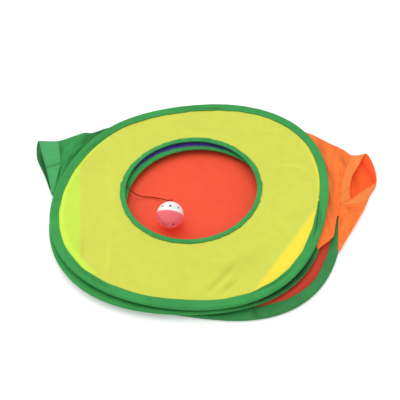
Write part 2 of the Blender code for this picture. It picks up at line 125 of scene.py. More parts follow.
# How far a knot reaches from its middle, its size, and its string's radius and twist
KNOT_REACH, KNOT_SIZE = 2.1 * MM, 1.05 * MM
KNOT_STRING, KNOT_TWIST = 0.62 * MM, 4 * MM
CORD_ROUTE = (
    (-121.5, 24.0, 13.6), (-116.0, 17.6, 12.4), (-109.0, 14.0, 8.6), (-99.5, 13.6, 4.2),
    (-87.5, 14.2, 2.6), (-76.5, 10.6, 3.8), (-68.5, 4.6, 8.4), (-62.5, -4.6, 16.2),
)


def linear(hex_colour):
    """An sRGB hex colour as the linear one that Blender works in."""
    parts = [int(hex_colour[k:k + 2], 16) / 255 for k in (1, 3, 5)]
    return tuple(p / 12.92 if p <= 0.04045 else ((p + 0.055) / 1.055) ** 2.4 for p in parts)


def length(name, description, default):
    return FloatProperty(name=name, description=description, default=default, min=0.0, unit="LENGTH")


def colour(name, description, hex_colour):
    return FloatVectorProperty(name=name, description=description, default=linear(hex_colour),
                               size=3, min=0.0, max=1.0, subtype="COLOR")


class TunnelSizes(bpy.types.PropertyGroup):
    """Sizes of the cloth, tape, cord and ball."""

    tape_thickness: length("Tape thickness", "Thickness of the woven tape", 0.5 * MM)
    cloth_thickness: length("Cloth thickness", "Thickness of the panel and sleeve cloth", 0.3 * MM)
    wall_thickness: length("Wall thickness", "Thickness of the pleated walls' cloth", 0.15 * MM)
    hem_thickness: length("Hem thickness", "Thickness of the folded hem", 0.9 * MM)
    pleat_depth: length("Pleat depth", "Depth of one fold of the pleated walls", 20 * MM)
    cord_diameter: length("Cord diameter", "Diameter of the ball's cord", 1.6 * MM)
    cord_twist: length("Cord twist", "Length of one full twist of the cord", 7 * MM)
    ball_diameter: length("Ball diameter", "Diameter of the bell ball", 38 * MM)
    ball_wall: length("Ball wall", "Thickness of the ball's moulded wall", 1.2 * MM)


class TunnelColours(bpy.types.PropertyGroup):
    """Colours of the cloth, tape, plastic and metal."""

    tape: colour("Tape", "Green binding tape", "#379e4c")
    # Painted shade: the base hoop's tape is the same green tape, made deeper for the shade it lies in
    low_tape: colour("Base tape", "Binding tape of the base hoop, a deeper green", "#358a49")
    yellow: colour("Yellow cloth", "Top panel", "#dae050")
    # Lime and golden are painted show-through: the side walls' colour through the thin yellow cloth
    lime: colour("Lime", "Top panel with the green wall showing through", "#cff14a")
    golden: colour("Golden", "Top panel with the orange wall showing through", "#ffec40")
    purple: colour("Purple cloth", "Middle panel", "#6353bd")
    red: colour("Red cloth", "Base panel", "#ff5430")
    # Painted shade: the lower walls' red cloth, darker than the base panel's
    wall_red_shaded: colour("Red wall", "Lower walls, in the shade of the hoops", "#da4027")
    green: colour("Green cloth", "Left sleeve and wall", "#239242")
    green_hem: colour("Green hem", "Doubled cloth, paler", "#45ad62")
    # The sleeves' insides are the same cloth: the green's darker inside is painted shade
    green_inside: colour("Green inside", "Left sleeve's inside", "#1f7a3a")
    orange: colour("Orange cloth", "Right sleeve and wall", "#ff7628")
    orange_hem: colour("Orange hem", "Doubled cloth, paler", "#ff883a")
    # and the orange's brighter, redder inside is painted light through the cloth
    orange_inside: colour("Orange inside", "Right sleeve's inside, lit through the cloth", "#ff5a0c")
    white: colour("White plastic", "Upper half of the ball", "#fbf8f4")
    pink: colour("Pink plastic", "Lower half of the ball", "#ff6c78")
    # Painted shade: the ball's inside is the same plastic, painted dark as it lies unlit
    ball_inside: colour("Inside of the ball", "Dark, as its holes show it", "#6a1a18")
    string: colour("String", "Dark red cord", "#9a180e")
    brass: colour("Bell brass", "Bell inside the ball", "#d8b46a")
    steel: colour("Spring steel", "Hoop wire and crimps", "#8c8d90")
    floor: colour("Floor", "Floor under the tunnel", "#ffffff")


# Materials

def add(tree, kind, sockets=None, **settings):
    """Adds a node with its settings, its sockets given values or links."""
    node = tree.nodes.new(kind)
    for name, value in settings.items():
        setattr(node, name, value)
    for name, value in (sockets or {}).items():
        if isinstance(value, bpy.types.NodeSocket):
            tree.links.new(value, node.inputs[name])
        else:
            node.inputs[name].default_value = value
    return node


def finish(name, constants):
    """A new material with constants on its shader's own sockets: the material, its node tree, its
    shader and its texture coordinates."""
    material = bpy.data.materials.new(name)
    material.use_nodes = True
    tree = material.node_tree
    shader = tree.nodes["Principled BSDF"]
    for socket, value in constants.items():
        shader.inputs[socket].default_value = value
    return material, tree, shader, add(tree, "ShaderNodeTexCoord").outputs


def feed(tree, shader, outputs):
    for socket, output in outputs.items():
        tree.links.new(output, shader.inputs[socket])


def worked(tree, operation, *values):
    """What a sum on values or sockets comes to."""
    return add(tree, "ShaderNodeMath", dict(enumerate(values)), operation=operation).outputs["Value"]


def ramp(tree, value, low, high, ends=(0.0, 1.0), shape="SMOOTHSTEP"):
    """A value's share of the way from low to high, from 0 to 1 or between other ends."""
    return add(tree, "ShaderNodeMapRange", {"Value": value, "From Min": low, "From Max": high,
               "To Min": ends[0], "To Max": ends[1]}, interpolation_type=shape).outputs["Result"]


def grain(tree, vector, scale, detail, **sockets):
    """Soft noise from 0 to 1, about scale patches to the metre."""
    sockets.update({"Vector": vector, "Scale": scale, "Detail": detail})
    return add(tree, "ShaderNodeTexNoise", sockets).outputs["Fac"]


def bumped(tree, height, strength, distance, **sockets):
    """A bump's normal, over another's where that is given as Normal."""
    sockets.update({"Height": height, "Strength": strength, "Distance": distance})
    return add(tree, "ShaderNodeBump", sockets).outputs["Normal"]


def bands(tree, vector, spacing, direction):
    """Straight bands at a spacing in the vector's own unit; Blender's wave turns once in 0.314."""
    return add(tree, "ShaderNodeTexWave", {"Vector": vector, "Scale": 0.314159 / spacing},
               bands_direction=direction).outputs["Fac"]


def mixed(tree, share, first, second):
    """Two colours mixed by a share."""
    ends = [end if isinstance(end, bpy.types.NodeSocket) else (*end, 1.0) for end in (first, second)]
    return add(tree, "ShaderNodeMix", {0: share, 6: ends[0], 7: ends[1]}, data_type="RGBA").outputs[2]


def varied(tree, base, vector, sizes, depth):
    """The colour made a little lighter and darker in soft patches of the given sizes, and by the mesh's
    own shade, which is below nought, as painted shade, in its creases and other shaded places, and
    above it, as painted light, on its raised folds."""
    own = add(tree, "ShaderNodeAttribute", attribute_name="shade").outputs["Fac"]
    shade = worked(tree, "ADD", own, 1.0)
    for size in sizes:
        patches = grain(tree, vector, 1 / size, 3.0)
        level = ramp(tree, patches, 0.3, 0.7, (1 - depth, 1 + depth), "LINEAR")
        shade = worked(tree, "MULTIPLY", shade, level)
    return add(tree, "ShaderNodeVectorMath", {0: base, "Scale": shade}, operation="SCALE").outputs["Vector"]


def beyond_line(tree, place, start, end, softness):
    """0 to 1 across a line on the floor plan, from its right side to its left, seen from start."""
    along = (Vector(end) - Vector(start)).normalized()
    left = Vector((-along.y, along.x, 0.0))
    offset = add(tree, "ShaderNodeVectorMath", {0: place, 1: left}, operation="DOT_PRODUCT")
    edge = left.dot(Vector((*start, 0.0)))
    return ramp(tree, offset.outputs["Value"], edge - softness, edge + softness)


def share_along(tree, spots, axis, low, high):
    """0 to 1 between two shares of the way along a piece's own rows or across them."""
    ways = add(tree, "ShaderNodeSeparateXYZ", {"Vector": spots["UV"]})
    return ramp(tree, ways.outputs[axis], low, high)


def laid_out(tree, spots, length, width):
    """A strip's own place in metres along and across it, however it bends."""
    return add(tree, "ShaderNodeMapping",
               {"Vector": spots["UV"], "Scale": (length, width, 1.0)}).outputs["Vector"]


def taffeta(name, base, span=None, show_through_tints=(), deep=None, glow=0.0):
    """Polyester taffeta, plain-woven and heat-set: smooth and thin, with a faint even sheen, fine
    threads, and soft creases left by folding. Its threads are 0.1 mm apart and are drawn at 0.9 mm,
    as fine as a close view shows. span is the piece's size in metres, for cloth that bends. A colour
    given for its root is painted shade next to its root, where it lies doubled under a hoop, and glow
    is a painted glow in the cloth's own colour, standing in for the light that comes through it from
    behind. A tint is painted show-through of what lies under the cloth: a colour, a line's two ends,
    the line's softness, and for a tint along the hoop the shares of the way out where it starts and
    where it is full."""
    material, tree, shader, spots = finish(name, {
        "Roughness": 0.62, "Sheen Weight": 0.08, "Sheen Roughness": 0.45, "Specular IOR Level": 0.3,
        "Emission Color": (*base, 1.0), "Emission Strength": glow})
    place = spots["Object"]
    threads = laid_out(tree, spots, *span) if span else place
    look = mixed(tree, share_along(tree, spots, "X", 0.28, 0.6), deep, base) if deep else base
    for tint, start, end, softness, rim in show_through_tints:
        share = beyond_line(tree, place, start, end, softness)
        if rim:
            share = worked(tree, "MULTIPLY", share, share_along(tree, spots, "Y", *rim))
        look = mixed(tree, share, look, tint)
    weave = worked(tree, "MULTIPLY", *(bands(tree, threads, 0.9 * MM, axis) for axis in "XY"))
    fine = bumped(tree, weave, 0.25, 0.06 * MM)
    folds = grain(tree, place, 38.0, 3.0, Roughness=0.45, Distortion=1.2)
    feed(tree, shader, {"Base Color": varied(tree, look, place, (0.07, 0.012), 0.025),
                        "Normal": bumped(tree, folds, 0.5, 1.4 * MM, Normal=fine)})
    return material


STITCH_LENGTH = 3.2 * MM
THREAD_WIDTH = 0.3 * MM


def woven_tape(name, base, around, across, stitch_rows):
    """Polyester binding tape, ribbed and folded: matt, with ribs across it and a row of darker
    lockstitch near each edge. Its ribs are 0.6 mm apart and are drawn at 1.4 mm."""
    material, tree, shader, spots = finish(name, {
        "Roughness": 0.7, "Sheen Weight": 0.06, "Sheen Roughness": 0.5, "Specular IOR Level": 0.28})
    place, strip = spots["Object"], laid_out(tree, spots, around, across)
    parts = add(tree, "ShaderNodeSeparateXYZ", {"Vector": strip}).outputs
    beat = worked(tree, "PINGPONG", parts["X"], STITCH_LENGTH)
    dash = worked(tree, "LESS_THAN", beat, 0.6 * STITCH_LENGTH)
    near = [worked(tree, "COMPARE", parts["Y"], row, THREAD_WIDTH) for row in stitch_rows]
    stitches = worked(tree, "MULTIPLY", dash, worked(tree, "MAXIMUM", *near))
    thread = mixed(tree, stitches, base, [0.45 * part for part in base])
    ribs = bumped(tree, bands(tree, strip, 1.4 * MM, "X"), 0.3, 0.1 * MM)
    sewn = bumped(tree, stitches, 0.6, 0.2 * MM, Normal=ribs)
    gather = grain(tree, place, 110.0, 2.0)
    feed(tree, shader, {"Base Color": varied(tree, thread, place, (0.05, 0.009), 0.04),
                        "Normal": bumped(tree, gather, 0.5, 0.8 * MM, Normal=sewn)})
    return material


def surfaced(name, base, constants, sizes, depth, scale, strength, distance):
    """A material with patches of the given sizes in its colour, and with a fine bump."""
    material, tree, shader, spots = finish(name, constants)
    place = spots["Object"]
    feed(tree, shader, {"Base Color": varied(tree, base, place, sizes, depth),
                        "Normal": bumped(tree, grain(tree, place, scale, 2.0), strength, distance)})
    return material


def spring_steel(base):
    """Drawn and tempered spring steel wire: grey, with fine drawing marks."""
    return surfaced("Spring steel, drawn", base, {
        "Metallic": 1.0, "Roughness": 0.32, "Base Color": (*base, 1.0)},
        (0.02, 0.002), 0.08, 900.0, 0.1, 0.05 * MM)


def moulded_plastic(name, base, clear, glow):
    """Polystyrene, injection-moulded: glossy, faintly uneven where it cooled. clear is how much light
    goes straight through it, and glow how much spreads inside it, as in the pink half; glow also makes
    it glow in its own colour, a painted glow."""
    return surfaced(name, base, {
        "Roughness": 0.26, "IOR": 1.55, "Transmission Weight": clear, "Subsurface Weight": glow,
        "Subsurface Scale": 4 * MM, "Subsurface Radius": (1.0, 0.45, 0.45),
        "Emission Color": (*base, 1.0), "Emission Strength": 0.45 * glow},
        (0.012,), 0.02, 160.0, 0.12, 0.3 * MM)


def twisted_string(base):
    """Spun cotton string, dyed: matt, with a slight fuzz that lightens its edges."""
    return surfaced("Cotton string, twisted", base, {
        "Roughness": 0.9, "Sheen Weight": 0.05, "Specular IOR Level": 0.15},
        (0.004, 0.0006), 0.12, 3500.0, 0.5, 0.1 * MM)


def stamped_brass(base):
    """Stamped, lacquered brass: warm and bright, with slightly dulled patches."""
    material, tree, shader, spots = finish("Brass, stamped", {"Metallic": 1.0})
    dull = grain(tree, spots["Object"], 400.0, 3.0)
    feed(tree, shader, {"Base Color": varied(tree, base, spots["Object"], (0.006,), 0.1),
                        "Roughness": ramp(tree, dull, 0.0, 1.0, (0.18, 0.42), "LINEAR")})
    return material


def floor_board(base, lift):
    """Painted studio board: matt and pale, with a barely uneven roller finish."""
    material, tree, shader, spots = finish("Painted board, matt", {
        "Roughness": 0.85, "Specular IOR Level": 0.1, "Emission Color": (1.0, 1.0, 1.0, 1.0)})
    # The camera, and glossy and clear surfaces, see the board a little whiter than it is lit
    rays = add(tree, "ShaderNodeLightPath").outputs
    seen = rays["Is Camera Ray"]
    for other in ("Is Glossy Ray", "Is Transmission Ray"):
        seen = worked(tree, "MAXIMUM", seen, rays[other])
    feed(tree, shader, {"Base Color": varied(tree, base, spots["Object"], (0.4,), 0.004),
                        "Emission Strength": worked(tree, "MULTIPLY", seen, lift)})
    return material


# Shapes

def grown(name, across, along, place, shade=None, is_open=None):
    """A mesh from a grid of cells, each corner put where place(u, v) says, u and v from 0 to 1.
    shade(u, v) darkens or lightens the cloth there, and where is_open(u, v) the grid has no faces."""
    cage = bmesh.new()
    cage.loops.layers.uv.new("UVMap")
    layer = cage.verts.layers.float.new("shade")
    bmesh.ops.create_grid(cage, x_segments=across, y_segments=along, size=0.5, calc_uvs=True)
    if is_open:
        middles = [(face, face.calc_center_median()) for face in cage.faces]
        gone = [face for face, middle in middles if is_open(middle.x + 0.5, middle.y + 0.5)]
        bmesh.ops.delete(cage, geom=gone, context="FACES")
    for vertex in cage.verts:
        u, v = vertex.co.x + 0.5, vertex.co.y + 0.5
        vertex.co = place(u, v)
        vertex[layer] = shade(u, v) if shade else 0.0
    return closed_up(name, cage)


def closed_up(name, cage):
    """Merges a bmesh's doubles, points its faces outwards and makes it a smooth mesh."""
    bmesh.ops.remove_doubles(cage, verts=cage.verts, dist=MERGE)
    bmesh.ops.recalc_face_normals(cage, faces=cage.faces)
    mesh = bpy.data.meshes.new(name)
    cage.to_mesh(mesh)
    cage.free()
    mesh.shade_smooth()
    return mesh


def placed(name, data):
    """A new object in the scene."""
    thing = bpy.data.objects.new(name, data)
    bpy.context.scene.collection.objects.link(thing)
    return thing


def add_piece(name, mesh, look, slot, node, body=None):
    """Puts a finished piece in the scene in place of a node, riding on a body when one is given."""
    piece = placed(name, mesh)
    mesh.materials.append(look)
    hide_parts(node)
    if body:
        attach(piece, body)
    return piece


def thicken(piece, thickness):
    """Gives a sheet its thickness, half of it to each side."""
    wall = piece.modifiers.new("Thickness", "SOLIDIFY")
    wall.thickness = thickness
    wall.offset = 0.0
    return piece


def line_inside(piece, lining):
    """Gives a thickened sheet's inner side its own look, its outer side being the one on top."""
    if max(piece.data.polygons, key=lambda face: face.center.z).normal.z < 0:
        piece.data.flip_normals()
    piece.data.materials.append(lining)
    piece.modifiers["Thickness"].material_offset = 1


def points_of(rows):
    return [Vector(point) * MM for point in rows]


def spline(a, b, c, d, t):
    """A point on the smooth curve from b to c, which doesn't swing out past close corners."""
    reach = (c - b).length
    leans = [0.5 * (c - a), 0.5 * (d - b)]
    start, end = [lean * min(1.0, reach / max(lean.length, 1e-9)) for lean in leans]
    return ((2 * t ** 3 - 3 * t ** 2 + 1) * b + (t ** 3 - 2 * t ** 2 + t) * start
            + (3 * t ** 2 - 2 * t ** 3) * c + (t ** 3 - t ** 2) * end)


def along_path(points, share):
    """The point at a share of a smooth curve through the points."""
    far = len(points) - 1
    k = min(int(share * far), far - 1)
    before = points[k - 1] if k else 2 * points[0] - points[1]
    after = points[k + 2] if k + 2 <= far else 2 * points[-1] - points[-2]
    return spline(before, points[k], points[k + 1], after, share * far - k)


def wander(angle, waves, seed):
    """Smooth unevenness round a ring, about that many waves to the turn, from -1 to 1."""
    reach = waves / TURN
    return noise.noise(Vector((reach * math.cos(angle), reach * math.sin(angle), seed)))


def smooth_step(low, high, value):
    """0 below low, 1 above high, and a soft rise between."""
    t = min(max((value - low) / (high - low), 0.0), 1.0)
    return t * t * (3 - 2 * t)


def ridge(point, path, width):
    """How near a point on the plan is to a crease's path, from 0 to 1, fading at its two ends."""
    best, share = 1e9, 0.0
    for k, (a, b) in enumerate(zip(path, path[1:])):
        along = b - a
        t = min(max((point - a).dot(along) / along.length_squared, 0.0), 1.0)
        gap = (point - a - along * t).length
        if gap < best:
            best, share = gap, (k + t) / (len(path) - 1)
    return peak(best, width) * math.sin(math.pi * min(max(share, 0.08), 0.92))


# Half of a tape's cross-section, from its free edge to its fold: (out from the wire or the hole's
# edge, height) in mm, with the edge's ridge, the stitched groove and the puff over the wire
HOOP_TAPE_SECTION = ((-10.75, 0.55), (-11.0, 0.95), (-10.4, 1.38), (-9.2, 1.18), (-7.6, 1.5),
                     (-5.0, 1.75), (-2.6, 2.2), (-0.4, 2.55), (1.6, 1.98), (2.55, 0.0))
HOLE_TAPE_SECTION = ((8.0, 0.5), (8.2, 0.9), (7.8, 1.3), (6.8, 1.12), (5.4, 1.3),
                     (3.6, 1.32), (1.9, 1.25), (0.7, 0.95), (0.25, 0.5), (0.05, 0.0))
# A tape's steps round its ring and across its cross-section, and how low it may lie
TAPE_STEPS = 720
SECTION_STEPS = 34
TAPE_LOW = 0.2 * MM


def tape_section(half_section):
    """The whole cross-section, its lower side the mirror of the upper one."""
    upper = [Vector((x, z)) * MM for x, z in half_section]
    return upper + [Vector((x, -z)) for x, z in reversed(upper[:-1])]


def folded_tape(name, ring, height, half_section, seed, lie, laps, widths, pinches, shadows):
    """Tape folded over an edge all the way round, gathered a little, and its ends lapped over each
    other. A lap is its bearing, how far it goes on, in degrees, and how much it stands out in mm. A
    width is a bearing, its spread, and how much less of the tape shows there. A pinch is a fold
    from one bearing and reach across the tape to another, and its width and depth. A shadow is a
    bearing, its spread and how much darker the tape's upper side is there, a painted shadow, or below
    nought how much lighter, a painted highlight."""
    section = tape_section(half_section)
    edge = abs(section[0].x)
    inner = math.copysign(1.0, section[0].x)

    def fold_at(bearing, reach):
        deepest = 0.0
        for start, first, end, last, width, depth in pinches:
            t = turn_past(bearing, start) / turn_past(end, start)
            if 0 < t < 1:
                offset = reach - (first + (last - first) * t)
                deepest = max(deepest, depth * math.sin(math.pi * t) ** 0.6 * peak(offset, width))
        return deepest

    def gathers(angle):
        return 0.5 * wander(angle, 110, seed) + 0.35 * wander(angle, 47, seed + 5)

    def across(v):
        spot = along_path(section, v)
        return spot, smooth_step(0.25 * edge, edge, abs(spot.x))

    def place(u, v):
        angle = TURN * u
        bearing = math.degrees(angle)
        spot, loose = across(v)
        side = 1 if v < 0.5 else -1
        out = spot.x + MM * loose * (wander(angle, 60, seed + 9) + 0.8 * wander(angle, 17, seed + 3))
        up = spot.y + side * MM * (0.25 + 0.75 * loose) * gathers(angle)
        for middle, spread, less in widths:
            out -= inner * less * MM * loose * peak(turn_past(bearing, middle), spread)
        for start, span, proud in laps:
            past, far = math.copysign(1.0, span) * turn_past(bearing, start), abs(span)
            lapped = smooth_step(-0.45, 0.45, past) * (1 - smooth_step(0.3 * far, far, past))
            tuck = peak(past + 0.9, 0.6)
            up += side * MM * (proud * lapped - 0.6 * tuck * loose)
            out += inner * MM * loose * (0.6 * lapped - tuck)
        if side > 0:
            up -= MM * fold_at(bearing, spot.x / MM)
        flat = ring.at(angle, out)
        flat.z = max(height + up + lie(flat.x, flat.y), TAPE_LOW)
        return flat

    def shade(u, v):
        angle = TURN * u
        bearing = math.degrees(angle)
        spot, loose = across(v)
        rounded = -0.16 * smooth_step(0.75, 1.0, abs(2 * v - 1))
        upper = smooth_step(0.12, 0.2, v) * (1 - smooth_step(0.42, 0.5, v)) if inner < 0 else 1.0
        gloom = sum(depth * peak(turn_past(bearing, middle), spread) for middle, spread, depth in shadows)
        blotches = 0.12 * wander(angle, 23, seed + 2) + 0.08 * wander(angle, 61, seed + 8)
        return (rounded + blotches + 0.18 * gathers(angle) * (0.4 + 0.6 * loose) - gloom * upper
                - 0.5 * fold_at(bearing, spot.x / MM))

    return grown(name, TAPE_STEPS, SECTION_STEPS, place, shade)


# Creases of the panels on the plan, in mm: (path, width, height of the ridge)
TOP_CREASES = (
    (((81, 151), (88, 142), (96, 140), (107, 142), (117, 146)), 3.5, 1.8),
    (((98, 65), (119, 64), (137, 59), (150, 47)), 4.0, 2.0),
    (((-11, -165), (10, -141), (35, -111)), 2.8, -2.2),
    (((8, -168), (23, -152), (39, -137)), 2.4, -2.0),
    (((-2, -166), (18, -145), (44, -116)), 2.0, 1.2),
    (((-177, -67), (-171, -117)), 2.5, -1.3),
    (((-139, -77), (-137, -143)), 5.0, 1.4),
    (((-20, -120), (30, -128), (80, -90)), 9.0, -1.2),
    (((-60, 150), (-20, 128), (30, 122)), 7.0, 1.0),
    (((-150, 60), (-143, 10), (-148, -40)), 8.0, 0.9),
)
MIDDLE_CREASES = (
    (((-70, 150), (-55, 128), (-44, 108)), 6.0, -1.0),
    (((20, 150), (12, 130), (10, 112)), 5.0, -0.9),
)


# How far a raised or sunk crease lightens or darkens the cloth, for each 2 mm of its height
CREASE_SHADE = 0.11


def flat_lie(x, y):
    return 0.0


def draped(creases, swell, seed):
    """How far a panel lies off its flat height, as a function of its place on the plan."""
    paths = [(points_of(path), width * MM, lift * MM) for path, width, lift in creases]

    def lie(x, y):
        spot = Vector((x, y))
        soft = noise.noise(Vector((x * 14, y * 14, seed)))
        soft += 0.35 * noise.noise(Vector((x * 42, y * 42, seed)))
        return swell * MM * soft + sum(lift * ridge(spot, path, width) for path, width, lift in paths)

    lie.creases = paths
    return lie


def crease_shade(lie, x, y):
    """Lighter on a panel's raised creases and darker in its sunk ones."""
    shares = CREASE_SHADE / (2 * MM)
    return sum(shares * lift * ridge(Vector((x, y)), path, width) for path, width, lift in lie.creases)


TOP_LIE = draped(TOP_CREASES, 0.9, 3.0)
MIDDLE_LIE = draped(MIDDLE_CREASES, 0.7, 8.0)
# How far the stiffer tape over a hole's edge follows the cloth's lie
HOLE_TAPE_SHARE = 0.5
# A panel's steps round it, and from a hole or the middle to its hoop
PANEL_STEPS = 480
HOLED_STEPS, CLOSED_STEPS = 52, 60


def gentle(lie):
    return lambda x, y: HOLE_TAPE_SHARE * lie(x, y)


def holed_panel(name, ring, hole, height, lie, sag):
    """Cloth from a hole's tape out to its hoop's, sewn at both and slack between them."""
    def plan(u, v):
        return hole.at(TURN * u, MM).lerp(ring.at(TURN * u, -PANEL_INSET), v)

    def place(u, v):
        flat = plan(u, v)
        held = min(smooth_step(0.0, 0.3, v), 1 - smooth_step(0.82, 0.98, v))
        tape_lie = HOLE_TAPE_SHARE * (1 - smooth_step(0.1, 0.35, v))
        flat.z = height + max(held, tape_lie) * lie(flat.x, flat.y)
        flat.z -= sag * MM * math.sin(math.pi * v) * held
        flat.z += 0.5 * MM * wander(TURN * u, 150, 2.0) * peak(v - 0.88, 0.05)
        return flat

    def shade(u, v):
        flat = plan(u, v)
        return crease_shade(lie, flat.x, flat.y)

    return grown(name, PANEL_STEPS, HOLED_STEPS, place, shade)


def closed_panel(name, ring, height):
    """The closed base panel, sewn in at its wire's height and lying on the floor inside the hoop."""
    def plan(u, v):
        rim = ring.at(TURN * u, -PANEL_INSET)
        return rim * v, rim.length * (1 - v)

    def place(u, v):
        flat, inwards = plan(u, v)
        drop = 1 - smooth_step(4 * MM, 32 * MM, inwards)
        ripple = noise.noise(Vector((flat.x * 16, flat.y * 16, 1.0)))
        ripple += 0.5 * abs(noise.noise(Vector((flat.x * 34, flat.y * 34, 6.0))))
        rise = 0.9 * MM * max(ripple, -0.3) * smooth_step(6 * MM, 30 * MM, inwards)
        pucker = 0.2 * MM * wander(TURN * u, 150, 4.0) * peak(inwards - 14 * MM, 7 * MM)
        flat.z = 0.5 * MM + (height - 0.5 * MM) * drop + max(rise, -0.2 * MM) + pucker * drop
        return flat

    def shade(u, v):
        return -0.52 * (1 - smooth_step(18 * MM, 46 * MM, plan(u, v)[1]))

    return grown(name, PANEL_STEPS, CLOSED_STEPS, place, shade)


# A pleated wall's layers and the steps across one, how far in from the hoop its outer folds lie, and
# how far off the wires' own heights it starts and ends
WALL_LAYERS = 10
LAYER_STEPS = 4
FOLD_INSET = 12.5 * MM
WALL_CLEARANCE = 1.35 * MM


def rise_at(share):
    """Where between the hoops a fold lies at rest, so that it rises by its share as they part."""
    return 0.5 - math.sin(math.asin(1 - 2 * share) / 3)


def pleated_wall(name, level, start, end, depth):
    """A stretch of wall between two hoops and two bearings, in pleats that pull out straight, and
    the heights at which it starts and ends."""
    low, high = HOOP_HEIGHTS[level] + WALL_CLEARANCE, HOOP_HEIGHTS[level + 1] - WALL_CLEARANCE
    heights = [low + (high - low) * rise_at(k / WALL_LAYERS) for k in range(WALL_LAYERS + 1)]

    def fold(k, angle):
        if k in (0, WALL_LAYERS):
            hoop = (BASE_RING, MIDDLE_RING, TOP_RING)[level + k // WALL_LAYERS]
            return hoop.at(angle, -WALL_INSET)
        inset = FOLD_INSET + (depth if k % 2 else 0.0)
        return MIDDLE_RING.at(angle, -inset - abs(1.2 * MM * wander(angle, 40, 3.0 * start + k)))

    def place(u, v):
        angle = math.radians(start + (end - start) * u)
        layer = min(int(v * WALL_LAYERS), WALL_LAYERS - 1)
        t = v * WALL_LAYERS - layer
        flat = fold(layer, angle).lerp(fold(layer + 1, angle), t)
        flat.z = heights[layer] + (heights[layer + 1] - heights[layer]) * t
        return flat

    return grown(name, end - start, WALL_LAYERS * LAYER_STEPS, place), low, high


# Sleeves: a net of points round the flattened tube, back fold first, then its upper side to the
# front, the tuck in the front fold, and its lower side back again. Rows run from the wall outwards.
ROUND = 10
# Steps between two of its points, along a sleeve and across its hem
NET_STEPS, SLEEVE_STEPS, HEM_STEPS = 16, 64, 24
# How high a sleeve starts between the middle and the top hoop
ROOT_HEIGHT = 13.5 * MM


def net_point(rows, s, t):
    """A point on the smooth surface through a net, s along its rows and t round each one."""
    far = len(rows) - 1
    k = min(int(s), far - 1)
    i = int(t) % ROUND
    ends = []
    for row in (max(k - 1, 0), k, k + 1, min(k + 2, far)):
        points = rows[row]
        ends.append(spline(*(points[(i + j) % ROUND] for j in (-1, 0, 1, 2)), t - int(t)))
    if k == 0:
        ends[0] = 2 * ends[1] - ends[2]
    if k == far - 1:
        ends[3] = 2 * ends[2] - ends[1]
    return spline(*ends, s - k)


def sleeve_rows(root, hem, lip, heights):
    """The net's rows, those between the root and the hem at shares of the way, each with the heights
    of its edges, its upper side and its lower side in mm."""
    rows = []
    for share, edge, upper, lower in heights:
        row = []
        for k in range(ROUND):
            point = root[k].lerp(hem[k], share)
            side = edge if k in (0, 4, 5, 6) else upper if k < 5 else lower
            crown = 1.0 if k in (2, 8) else 0.8
            point.z = (edge + (side - edge) * crown) * MM
            row.append(point)
        rows.append(row)
    return rows + [hem, lip]


def on_hoop(bearings, out):
    return [MIDDLE_RING.at(math.radians(bearing), out * MM, ROOT_HEIGHT) for bearing in bearings]


def lay(rows, places, corners_of):
    """Puts some of a net's points where the photograph shows them, row by row."""
    for k, corners in corners_of.items():
        for i, corner in zip(places, corners):
            rows[k][i] = Vector(corner) * MM


def green_net():
    root = on_hoop((116, 134, 150, 166, 183, 184, 183, 166, 150, 134), -5)
    hem = points_of((
        (-240.6, 126.2, 7.6), (-233, 102, 10.6), (-228, 79, 11.2), (-229, 52, 9.4), (-231, 23.5, 6.0),
        (-231.5, 19, 4.6), (-234, 18, 3.2), (-239, 34, 1.2), (-250, 66, 1.2), (-257, 96, 1.4)))
    lip = points_of((
        (-270.3, 128.5, 6.0), (-261, 101, 9.2), (-252.6, 77, 9.8), (-245, 55.5, 8.2), (-237.4, 30, 5.4),
        (-237, 26, 4.2), (-238.4, 28, 2.8), (-252, 60.7, 1.8), (-267, 91.4, 1.8), (-272, 117, 2.2)))
    rows = sleeve_rows(root, hem, lip, (
        (0.0, 13.5, 13.9, 13.1), (0.16, 12.2, 10.4, 9.0), (0.34, 10.0, 8.2, 4.6), (0.62, 8.0, 13.6, 2.2),
        (0.86, 7.4, 12.4, 1.4)))
    # The back fold, which dips where it comes out from under the hoop
    lay(rows, (0,), {1: ((-163, 151.5, 12.6),), 2: ((-186, 141, 12.0),), 3: ((-201, 142, 10.6),),
                     4: ((-219, 134.5, 9.2),)})
    return rows


